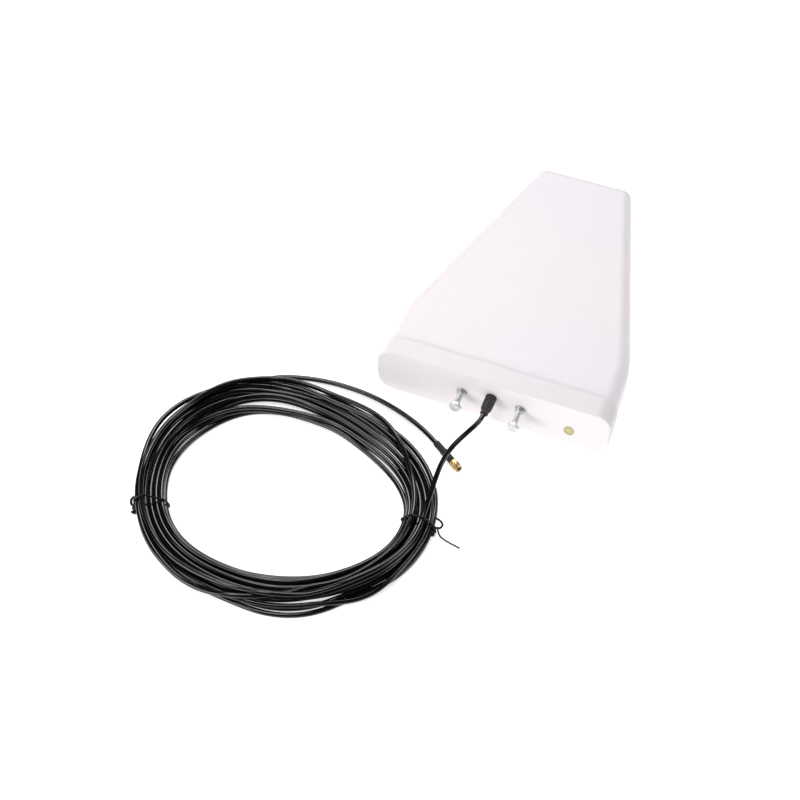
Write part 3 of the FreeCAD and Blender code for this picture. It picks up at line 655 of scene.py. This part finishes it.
def coil_plan():
    """The coil's points seen from above, in the order in which the cable was laid."""
    given = stations()
    leaving = (LEAD_ROUTE[-1][0] - COIL_MIDDLE[0], LEAD_ROUTE[-1][1] - COIL_MIDDLE[1])
    first, last = given[0][0], 360 * len(TURNS) + math.degrees(math.atan2(leaving[1], leaving[0]))
    count = round((last - first) / COIL_STEP)
    angles = [first + (last - first) * i / count for i in range(1, count)]
    places = []
    for angle in angles:
        turn, radius = math.radians(angle), coil_radius(angle, given)
        places.append((COIL_MIDDLE[0] + radius * math.cos(turn), COIL_MIDDLE[1] + radius * math.sin(turn)))
    return angles, np.array(places)


def laid_on(place, starts, ends):
    """How high the cable lies at a place on the runs already laid, or 0 where it touches none."""
    run = ends[:, :2] - starts[:, :2]
    along = ((place - starts[:, :2]) * run).sum(1) / ((run * run).sum(1) + 1e-12)
    along = np.clip(along, 0, 1)
    aside = place - starts[:, :2] - along[:, None] * run
    distance = np.hypot(aside[:, 0], aside[:, 1])
    near = distance < 2 * CABLE_RADIUS
    if not near.any():
        return 0.0
    height = starts[near, 2] + along[near] * (ends[near, 2] - starts[near, 2])
    return float((height + np.sqrt(4 * CABLE_RADIUS**2 - distance[near] ** 2)).max())


def coil_points(tail):
    """Lays the coil on the tail, one point after another, each resting on what lies below it."""
    angles, plan = coil_plan()
    points = np.array(list(reversed(tail)) + [(x, y, 0) for x, y in plan])
    first = len(tail)
    steps = np.hypot(*(points[1:, :2] - points[:-1, :2]).T)
    skip = int(JUST_LAID / COIL_STEP) + 1
    for i, angle in enumerate(angles):
        at = first + i
        lift = TIE_LIFT * max(0, 1 - (min(apart(angle, tie) for tie in TIES) / TIE_LIFT_REACH) ** 2)
        height = CABLE_RADIUS + lift
        laid = at - skip
        if laid > 1:
            height = max(height, laid_on(points[at, :2], points[: laid - 1], points[1:laid]))
        points[at, 2] = max(height, points[at - 1, 2] - CLIMB * steps[at - 1])
        back = at
        while back > first and points[back - 1, 2] < points[back, 2] - CLIMB * steps[back - 1]:
            points[back - 1, 2] = points[back, 2] - CLIMB * steps[back - 1]
            back -= 1
    return points[first:]


def nurbs_line(points, name, resolution=6):
    """Points along the smooth spline that has these control points."""
    curve = bpy.data.curves.new(name, "CURVE")
    curve.dimensions = "3D"
    spline = curve.splines.new("NURBS")
    spline.points.add(len(points) - 1)
    for spot, point in zip(spline.points, points):
        spot.co = (*point, 1)
    spline.order_u = 3
    spline.use_endpoint_u = True
    curve.resolution_u = resolution
    holder = bpy.data.objects.new(name, curve)
    mesh = bpy.data.meshes.new_from_object(holder)
    line = np.array([v.co for v in mesh.vertices])
    bpy.data.meshes.remove(mesh)
    bpy.data.objects.remove(holder)
    bpy.data.curves.remove(curve)
    return line


def tube_along(line, radius, count=16, twist=0.0):
    """Rings square to a line, carried along it without turning, and the distance along it of each."""
    line = np.asarray(line, float)
    steps = np.linalg.norm(np.diff(line, axis=0), axis=1)
    along = np.concatenate([[0], np.cumsum(steps)])
    heading = np.gradient(line, axis=0)
    heading /= np.linalg.norm(heading, axis=1)[:, None]
    side = np.cross(heading[0], (0, 0, 1))
    if np.linalg.norm(side) < 0.1:
        side = np.cross(heading[0], (1, 0, 0))
    rings = []
    for i, place in enumerate(line):
        side = side - heading[i] * (side @ heading[i])
        side /= np.linalg.norm(side)
        up = np.cross(side, heading[i])
        turns = [2 * math.pi * j / count + twist * along[i] for j in range(count)]
        rings.append([place + radius * (math.cos(t) * side + math.sin(t) * up) for t in turns])
    return rings, along


def tube_uvs(rings, along):
    """UVs of a skinned tube: metres along it, and the share of the way round it."""
    count = len(rings[0])
    uvs = []
    for i in range(len(rings) - 1):
        for j in range(count):
            low, high = j / count, (j + 1) / count
            uvs += [(along[i], low), (along[i], high), (along[i + 1], high), (along[i + 1], low)]
    uvs += [(0, 0)] * count + [(along[-1], 0)] * count
    return uvs


def make_cable():
    lead = [from_cap(*p) for p in LEAD_ROUTE]
    tail = [tuple(p) for p in TAIL_ROUTE]
    coil = [from_cap(*p) for p in coil_points(tail)]
    ending = [along_plug(FERRULE_START - LAST_RUN), along_plug(FERRULE_START)]
    route = lead + list(reversed(coil)) + [from_cap(*p) for p in tail] + ending
    line = nurbs_line(route, "cable_route")
    rings, along = tube_along(line, CABLE_RADIUS)
    vertices, faces = skin(rings)
    cable = new_piece("cable", vertices, faces, cable_jacket(), "cable_jacket", tube_uvs(rings, along))
    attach(cable, BODY)
    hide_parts("cord_lead", "cord_coil", "cord_tail")
    return cable, line, float(along[-1])


# ---------------------------------------------------------------- ties

BAND_RADIUS = 0.00095
LOOP_RADII = {"left": 0.0013, "right": 0.00105}
TAIL_RADIUS = 0.00078
WIRE_SIDES = 12
STRAND_SIDES = 24
# The angle at which each tie goes round the bundle, and how far it leans along it as it rises.
TIE_PLANES = {"left": (208.0, -0.28), "right": (6.4, 0.0)}
# Each tie's two ends meet outside the bundle in an open loop that ends in a twisted stub.
TIE_LOOPS = {
    "left": (
        (-0.2725, -0.2156, 0.0130),
        (-0.2777, -0.2152, 0.0105),
        (-0.2808, -0.2184, 0.0080),
        (-0.2788, -0.2226, 0.0060),
        (-0.2750, -0.2224, 0.0052),
        (-0.2728, -0.2234, 0.0050),
        (-0.2722, -0.2262, 0.0048),
        (-0.2718, -0.2292, 0.0044),
    ),
    "right": (
        (-0.0076, -0.1350, 0.0125),
        (-0.0050, -0.1346, 0.0110),
        (-0.0011, -0.1344, 0.0085),
        (0.0016, -0.1361, 0.0060),
        (0.0001, -0.1400, 0.0046),
        (-0.0037, -0.1399, 0.0044),
        (-0.0051, -0.1441, 0.0042),
        (-0.0055, -0.1502, 0.0036),
    ),
}
TIE_TAIL = (
    (-0.0024, -0.1400, 0.0038),
    (-0.0009, -0.1425, 0.0022),
    (0.0021, -0.1457, 0.0010),
    (0.0073, -0.1478, 0.0009),
    (0.0146, -0.1494, 0.0009),
    (0.0196, -0.1503, 0.0009),
    (0.0235, -0.1509, 0.0009),
)
STUB_TWIST = 0.0090
TWIST_PITCH = 0.0036


def strands_at(line, angle):
    """Where the cable crosses an upright plane through the coil's middle: (distance out, height)."""
    turn = math.radians(angle)
    outward = np.array((math.cos(turn), math.sin(turn), 0))
    across = np.array((-math.sin(turn), math.cos(turn), 0))
    local = np.asarray(line) - np.array(from_cap(*COIL_MIDDLE, 0))
    side = local @ across
    found = []
    for i in np.flatnonzero(side[:-1] * side[1:] <= 0):
        share = side[i] / (side[i] - side[i + 1] + 1e-12)
        spot = local[i] + share * (local[i + 1] - local[i])
        if spot @ outward > 0:
            found.append((float(spot @ outward), float(spot[2])))
    return found


def hull(points):
    """The convex outline of flat points, anticlockwise."""
    points = sorted(set(points))

    def chain(some):
        kept = []
        for p in some:
            while len(kept) > 1:
                (ax, ay), (bx, by) = kept[-2], kept[-1]
                if (bx - ax) * (p[1] - ay) - (by - ay) * (p[0] - ax) > 0:
                    break
                kept.pop()
            kept.append(p)
        return kept[:-1]

    return chain(points) + chain(reversed(points))


def tie_band(line, angle, lean):
    """A wire drawn tight round the strands, as a closed tube."""
    reach = CABLE_RADIUS + BAND_RADIUS
    spots = []
    for out, height in strands_at(line, angle):
        for j in range(STRAND_SIDES):
            turn = 2 * math.pi * j / STRAND_SIDES
            spots.append((round(out + reach * math.cos(turn), 6), round(height + reach * math.sin(turn), 6)))
    outline = hull(spots)
    turn = math.radians(angle)
    outward = Vector((math.cos(turn), math.sin(turn), 0))
    across = Vector((-math.sin(turn), math.cos(turn), 0))
    upward = Vector((0, 0, 1)) + lean * across
    centre = from_cap(*COIL_MIDDLE, 0)
    rings = []
    for i, (out, height) in enumerate(outline):
        before, after = outline[i - 1], outline[(i + 1) % len(outline)]
        heading = Vector((after[0] - before[0], after[1] - before[1])).normalized()
        normal = outward * heading.y - Vector((0, 0, 1)) * heading.x
        spot = centre + outward * out + upward * max(height, BAND_RADIUS)
        turns = [2 * math.pi * j / WIRE_SIDES for j in range(WIRE_SIDES)]
        rings.append([spot + BAND_RADIUS * (math.cos(t) * normal + math.sin(t) * across) for t in turns])
    return skin(rings, loop=True)


def wire_round(line, start, radius, gap, pitch):
    """A wire wound round the last part of another."""
    rings, along = tube_along(line, gap, count=1, twist=2 * math.pi / pitch)
    wound = [ring[0] for ring, s in zip(rings, along) if s >= start]
    wires, _ = tube_along(wound, radius, WIRE_SIDES)
    return skin(wires)


def make_tie(side, line, material):
    band = tie_band(line, *TIE_PLANES[side])
    loop = nurbs_line([from_cap(*p) for p in TIE_LOOPS[side]], "tie_route", 24)
    radius = LOOP_RADII[side]
    loop_rings, along = tube_along(loop, radius, WIRE_SIDES)
    wound = wire_round(loop, along[-1] - STUB_TWIST, radius, 2 * radius, TWIST_PITCH)
    skins = [band, skin(loop_rings), wound]
    if side == "right":
        tail = nurbs_line([from_cap(*p) for p in TIE_TAIL], "tie_tail_route", 16)
        tail_rings, _ = tube_along(tail, TAIL_RADIUS, WIRE_SIDES)
        skins.append(skin(tail_rings))
    piece = new_piece("wire_tie_" + side, *joined(*skins), material, "tie_plastic")
    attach(piece, BODY)
    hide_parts("tie_" + side)
    return piece


# ---------------------------------------------------------------- bolts and washers

HEAD_FLATS = 0.011
HEAD_THICK = 0.004
HEAD_FACE = 0.0051
SHANK = 0.003
THREAD_ROOT = 0.0024
THREAD_PITCH = 0.001
THREAD_START = 0.0072
THREAD_END = 0.0006
BOLT_POINTS = 72
# The tiny ring that closes a turned face at its middle.
CENTRE = 0.0002
DISH_RADIUS = 0.0040
DISH_RIM = 0.0044
DISH_DEPTH = 0.00025
NECK_FILLET = 0.0003
HEAD_TURNS = {"left": 90.0, "right": 82.0}
WASHER_HOLE = 0.0032
WASHER_EDGE = 0.0002
WASHER_POINTS = 64
SPRING_GAP = 0.0010
SPRING_SLANT = 0.0008
SPRING_SET = 0.0005
SPRING_POINTS = 60
GAP_TURNS = (205.0, 320.0)


def bolt_shape(length):
    """A hex bolt standing on its head's face, pointing along +Z."""
    half = HEAD_FLATS / 2
    edge = 0.00018

    def low(reach):
        return max(0, reach - HEAD_FACE) * HEX_SLOPE

    def high(reach):
        return HEAD_THICK - max(0, reach - half - NECK_FILLET) * HEX_SLOPE

    rings = [
        round_ring(CENTRE, DISH_DEPTH, BOLT_POINTS),
        round_ring(DISH_RADIUS, DISH_DEPTH, BOLT_POINTS),
        round_ring(DISH_RIM, 0.00002, BOLT_POINTS),
        round_ring(HEAD_FACE, 0, BOLT_POINTS),
        hex_ring(half - edge, low, BOLT_POINTS),
        hex_ring(half, lambda r: low(r) + edge, BOLT_POINTS),
        hex_ring(half, lambda r: high(r) - edge, BOLT_POINTS),
        hex_ring(half - edge, high, BOLT_POINTS),
        round_ring(HEAD_FACE, HEAD_THICK, BOLT_POINTS),
        round_ring(SHANK + NECK_FILLET, HEAD_THICK, BOLT_POINTS),
        round_ring(SHANK, HEAD_THICK + NECK_FILLET, BOLT_POINTS),
    ]
    end = length - THREAD_END
    rings += thread_rings(SHANK, THREAD_ROOT, THREAD_PITCH, THREAD_START, end, BOLT_POINTS, THREAD_PITCH)
    rings += [round_ring(THREAD_ROOT, length, BOLT_POINTS), round_ring(CENTRE, length, BOLT_POINTS)]
    return skin(rings)


def make_bolt(side, material):
    low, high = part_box("bolt_" + side)
    face = Vector(((low.x + high.x) / 2, low.y, (low.z + high.z) / 2))
    turn = Matrix.Rotation(math.radians(HEAD_TURNS[side]), 4, "Z")
    shape = placed(bolt_shape(high.y - low.y), facing((0, 1, 0), face) @ turn)
    bolt = new_piece("hex_bolt_" + side, *shape, material, "zinc_steel")
    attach(bolt, side + "_bolt")
    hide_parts("bolt_" + side)


def washer_places(node):
    """The middles of the faces nearest the viewer of a node's two rings, and their sizes."""
    low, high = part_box(node)
    radius = (high.z - low.z) / 2
    height = (low.z + high.z) / 2
    spots = [Vector((x, low.y, height)) for x in (low.x + radius, high.x - radius)]
    return spots, radius, high.y - low.y


def flat_washer(radius, hole, thick):
    edge = WASHER_EDGE
    profile = [
        (hole, edge),
        (hole + edge, 0),
        (radius - edge, 0),
        (radius, edge),
        (radius, thick - edge),
        (radius - edge, thick),
        (hole + edge, thick),
        (hole, thick - edge),
    ]
    return turned(profile, WASHER_POINTS, loop=True)


def spring_washer(radius, hole, thick, gap_turn):
    """A split ring of square wire whose two ends stand a little apart."""
    edge = WASHER_EDGE
    flat = thick - SPRING_SET
    section = ((hole, edge), (hole + edge, 0), (radius - edge, 0), (radius, edge))
    section += ((radius, flat - edge), (radius - edge, flat), (hole + edge, flat), (hole, flat - edge))
    middle = (radius + hole) / 2
    half_gap = SPRING_GAP / middle / 2
    rings = []
    for i in range(SPRING_POINTS + 1):
        share = i / SPRING_POINTS
        turn = math.radians(gap_turn) + half_gap + share * (2 * math.pi - 2 * half_gap)
        slant = SPRING_SLANT / middle
        ring = []
        for r, z in section:
            lean = turn + slant * (z / flat - 0.5)
            ring.append((r * math.cos(lean), r * math.sin(lean), z + SPRING_SET * (1 - share)))
        rings.append(ring)
    return skin(rings)


def make_washers(material):
    for name, node in (("washers_flat", "flat_washers"), ("washers_spring", "spring_washers")):
        spots, radius, thick = washer_places(node)
        skins = []
        for spot, gap_turn in zip(spots, GAP_TURNS):
            if node == "flat_washers":
                shape = flat_washer(radius, WASHER_HOLE, thick)
            else:
                shape = spring_washer(radius, WASHER_HOLE, thick, gap_turn)
            skins.append(placed(shape, facing((0, 1, 0), spot)))
        piece = new_piece(name, *joined(*skins), material, "zinc_steel")
        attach(piece, BODY)
        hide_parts(node)


# ---------------------------------------------------------------- boot

COLLAR_RADIUS = 0.0049
BOOT_TAPER = 0.00045
BOOT_SHOULDER = 0.0007
BOOT_POINTS = 72
NECK_RADIUS = 0.00375
NECK_START = 0.0175
RIM_HEIGHT = 0.0003
# The small ring that closes the boot's two ends, inside the cable.
BOOT_CLOSING = 0.0005


def make_boot(material):
    """A tapering body with softened shoulders, and a narrower neck with a rolled rim."""
    low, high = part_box("strain_relief_boot")
    root = (high.z - low.z) / 2
    place = ((low.x + high.x) / 2, CAP_FACE_Y, (low.z + high.z) / 2)
    end = CAP_FACE_Y - low.y
    collar = high.y - CAP_FACE_Y
    tip = root - BOOT_TAPER
    profile = [
        (BOOT_CLOSING, -collar),
        (COLLAR_RADIUS, -collar),
        (COLLAR_RADIUS, -0.0001),
        (root - 0.0004, 0.00005),
        (root, 0.0005),
        (root, 0.0018),
        (root - 0.00015, 0.0024),
        ((root + tip) / 2, 0.0090),
        (tip, NECK_START - 0.0022),
        (tip - 0.0005, NECK_START - 0.0006),
        (NECK_RADIUS + 0.0004, NECK_START),
        (NECK_RADIUS, NECK_START + 0.0003),
        (NECK_RADIUS - 0.0002, end - 0.0016),
        (NECK_RADIUS + RIM_HEIGHT, end - 0.0011),
        (NECK_RADIUS + RIM_HEIGHT, end - 0.0004),
        (NECK_RADIUS - 0.0004, end),
        (BOOT_CLOSING, end),
    ]
    outline = softened(profile, BOOT_SHOULDER)
    shape = placed(turned(outline, BOOT_POINTS), facing((0, -1, 0), place))
    boot = new_piece("cable_boot", *shape, material, "boot_rubber")
    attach(boot, BODY)
    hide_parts("strain_relief_boot")


# ---------------------------------------------------------------- connector

SHRINK_LENGTH = 0.027
SHRINK_REAR = 0.0034
SHRINK_FRONT = 0.0037
SHRINK_STEPS = 60
SHRINK_POINTS = 48
# Where the sleeve starts to widen over the crimp, over what length, and the soft ridge of the crimp's edge.
SHRINK_RISE, SHRINK_RISE_LENGTH = 0.0085, 0.0045
RIDGE_PLACE, RIDGE_WIDTH, RIDGE_HEIGHT = 0.0135, 0.0012, 0.00016
LIP_DEPTH, LIP_LENGTH = 0.00022, 0.0006
# How far from its ends the sleeve's ripples reach their full height.
RIPPLE_FADE = 0.002
NUT_START = 0.0272
NUT_HEX_END = 0.0344
NUT_FLATS = 0.008
NUT_NOSE = 0.0036
NUT_BORE = 0.0031
NUT_REAR_HOLE = 0.00268
NUT_WALL = 0.0015
NUT_THREAD_PITCH = 0.0007
NUT_THREAD_DEPTH = 0.00035
NUT_THREAD_START = 0.0031
NUT_THREAD_END = 0.0004
NUT_TURN = 36.0
NUT_POINTS = 96
# The chamfer starts just outside the flats, as a share of their half width.
NUT_CHAMFER_START = 1.01


def make_shrink_tube(material):
    """Sleeve shrunk over the cable and the crimp, its two thicknesses joined by a soft step."""
    rings = []
    for i in range(SHRINK_STEPS + 1):
        s = SHRINK_LENGTH * i / SHRINK_STEPS
        radius = SHRINK_REAR + (SHRINK_FRONT - SHRINK_REAR) * eased((s - SHRINK_RISE) / SHRINK_RISE_LENGTH)
        radius += RIDGE_HEIGHT * math.exp(-(((s - RIDGE_PLACE) / RIDGE_WIDTH) ** 2))
        end = min(s, SHRINK_LENGTH - s)
        radius -= LIP_DEPTH * max(0, 1 - end / LIP_LENGTH)
        ring = []
        for j in range(SHRINK_POINTS):
            turn = 2 * math.pi * j / SHRINK_POINTS
            ripple = 0.00006 * math.sin(3 * turn + 900 * s) + 0.00004 * math.sin(5 * turn - 1500 * s)
            reach = radius + ripple * min(1, end / RIPPLE_FADE)
            ring.append((reach * math.cos(turn), reach * math.sin(turn), s))
        rings.append(ring)
    shape = placed(skin(rings), facing(PLUG_AXIS, along_plug(0)))
    piece = new_piece("shrink_sleeve", *shape, material, "shrink_plastic")
    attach(piece, BODY)
    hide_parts("sma_shrink_tube")
    return piece


def make_coupling_nut(material):
    """Hexagonal behind and round in front, with the thread inside its open end."""
    half = NUT_FLATS / 2
    edge = 0.00012
    thick = NUT_HEX_END - NUT_START
    length = PLUG_LENGTH - NUT_START

    def low(reach):
        return max(0, reach - half * NUT_CHAMFER_START) * HEX_SLOPE

    def high(reach):
        return thick - max(0, reach - half * NUT_CHAMFER_START) * HEX_SLOPE

    def circle(radius, z):
        return round_ring(radius, z, NUT_POINTS)

    rings = [
        circle(NUT_REAR_HOLE, 0.0002),
        circle(NUT_REAR_HOLE + 0.0002, 0),
        circle(half - 0.0004, 0),
        hex_ring(half - edge, low, NUT_POINTS),
        hex_ring(half, lambda r: low(r) + edge, NUT_POINTS),
        hex_ring(half, lambda r: high(r) - edge, NUT_POINTS),
        hex_ring(half - edge, high, NUT_POINTS),
        circle(NUT_NOSE + 0.0001, thick),
        circle(NUT_NOSE - 0.00035, thick + 0.0001),
        circle(NUT_NOSE - 0.0004, thick + 0.0005),
        circle(NUT_NOSE - 0.0001, thick + 0.0008),
        circle(NUT_NOSE, thick + 0.0011),
        circle(NUT_NOSE, length - 0.00035),
        circle(NUT_NOSE - 0.0002, length - 0.0001),
        circle(NUT_BORE + 0.0002, length),
        circle(NUT_BORE, length - 0.0003),
    ]
    start, end = NUT_THREAD_START, length - NUT_THREAD_END
    inner = thread_rings(NUT_BORE - NUT_THREAD_DEPTH, NUT_BORE, NUT_THREAD_PITCH, start, end, NUT_POINTS, 0)
    rings += list(reversed(inner))
    rings += [circle(NUT_BORE, NUT_WALL + 0.0003), circle(NUT_BORE, NUT_WALL)]
    rings.append(circle(NUT_REAR_HOLE, NUT_WALL))
    turn = Matrix.Rotation(math.radians(NUT_TURN), 4, "Z")
    shape = placed(skin(rings, loop=True), facing(PLUG_AXIS, along_plug(NUT_START)) @ turn)
    nut = new_piece("coupling_nut", *shape, material, "gold_plating")
    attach(nut, "plug_nut")
    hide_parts("sma_coupling_nut")
    return nut


# ---------------------------------------------------------------- sticker

STICKER_HALF_WIDTH = 0.0051
STICKER_HALF_HEIGHT = 0.0066
# How far in from the outline its softened edge ends, and the small oval that closes its face.
STICKER_EDGE = 0.00004
STICKER_MIDDLE = 0.0048
STICKER_SIDES = 64


def make_sticker():
    """A thin upright oval film with a softened edge."""
    low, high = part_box("inspection_sticker")
    x, z = (low.x + high.x) / 2, (low.z + high.z) / 2
    rings = []
    outlines = ((STICKER_MIDDLE, low.y), (STICKER_EDGE, low.y), (0, low.y + STICKER_EDGE), (0, high.y))
    for inset, y in outlines:
        wide, tall = STICKER_HALF_WIDTH - inset, STICKER_HALF_HEIGHT - inset
        turns = [2 * math.pi * j / STICKER_SIDES for j in range(STICKER_SIDES)]
        rings.append([(x + wide * math.cos(t), y, z - tall * math.sin(t)) for t in turns])
    film = sticker_film((x, low.y, z), STICKER_HALF_WIDTH, STICKER_HALF_HEIGHT)
    sticker = new_piece("oval_sticker", *skin(rings), film, "sticker_film")
    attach(sticker, BODY)
    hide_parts("inspection_sticker")


# ---------------------------------------------------------------- finishes of the CAD parts

STEEL_NODES = (
    "cap_screws",
    "mount_plate",
    "weld_nuts",
    "plate_screws",
    "boom_screws",
    "bracket_screws",
    "feed_screw",
)
ALUMINIUM_NODES = ("boom_upper", "boom_lower", "boom_short_block", "boom_bracket")
NYLON_NODES = (
    "boot_lock_nut",
    "tip_cradle",
    "coax_clips",
    "feed_insulator",
    "boom_spacer_middle",
    "boom_spacer_front",
)


def finish_cad_nodes(steel, gold_plate):
    nodes = frame["nodes"]
    casing_plastic("cap_plastic", (0.80, 0.755, 0.765), (0.84, 0.78, 0.785), (0.79, 0.765, 0.80)).put_on(
        nodes["base_cap"]
    )
    casing_plastic("radome_plastic", (0.85, 0.80, 0.825), (0.88, 0.82, 0.82), (0.835, 0.80, 0.865)).put_on(
        nodes["radome"]
    )
    steel.put_on(*[nodes[name] for name in STEEL_NODES])
    rods = [name for name in nodes if name.startswith("element_")]
    aluminium().put_on(*[nodes[name] for name in (*ALUMINIUM_NODES, *rods)])
    plain_plastic("nylon", (0.62, 0.60, 0.55)).put_on(*[nodes[name] for name in NYLON_NODES])
    rubber("gasket_rubber", (0.03, 0.03, 0.032), 0.0006).put_on(nodes["cap_gasket"])
    plain_plastic("inner_jacket", (0.02, 0.02, 0.022), 0.35).put_on(nodes["feed_coax"])
    brass().put_on(nodes["feed_link"])
    plain_plastic("white_insulator", (0.86, 0.86, 0.84), 0.35, 0.001).put_on(nodes["sma_dielectric"])
    gold_plate.put_on(*[nodes[name] for name in ("sma_body", "sma_retaining_ring", "sma_centre_pin")])


# ---------------------------------------------------------------- everything

make_camera()
make_lights()
make_floor()
cable, cable_line, cable_length = make_cable()

tie_black = plain_plastic("tie_plastic", (0.012, 0.012, 0.013), 0.38, 0.0012)
tie_black.set("Specular IOR Level", 0.2)
ties = [make_tie(side, cable_line, tie_black) for side in TIE_PLANES]
bolt_zinc = zinc("zinc_bolts", 0.66, 0.4)
for side in HEAD_TURNS:
    make_bolt(side, bolt_zinc)
make_washers(zinc("zinc_washers", 0.50, 0.85))
make_boot(rubber("boot_rubber", (0.020, 0.019, 0.020), 0.0006))
make_sticker()
gold_plate = gold()
sleeve = make_shrink_tube(shrink_plastic())
nut = make_coupling_nut(gold_plate)
finish_cad_nodes(zinc("zinc_steel", 0.7), gold_plate)
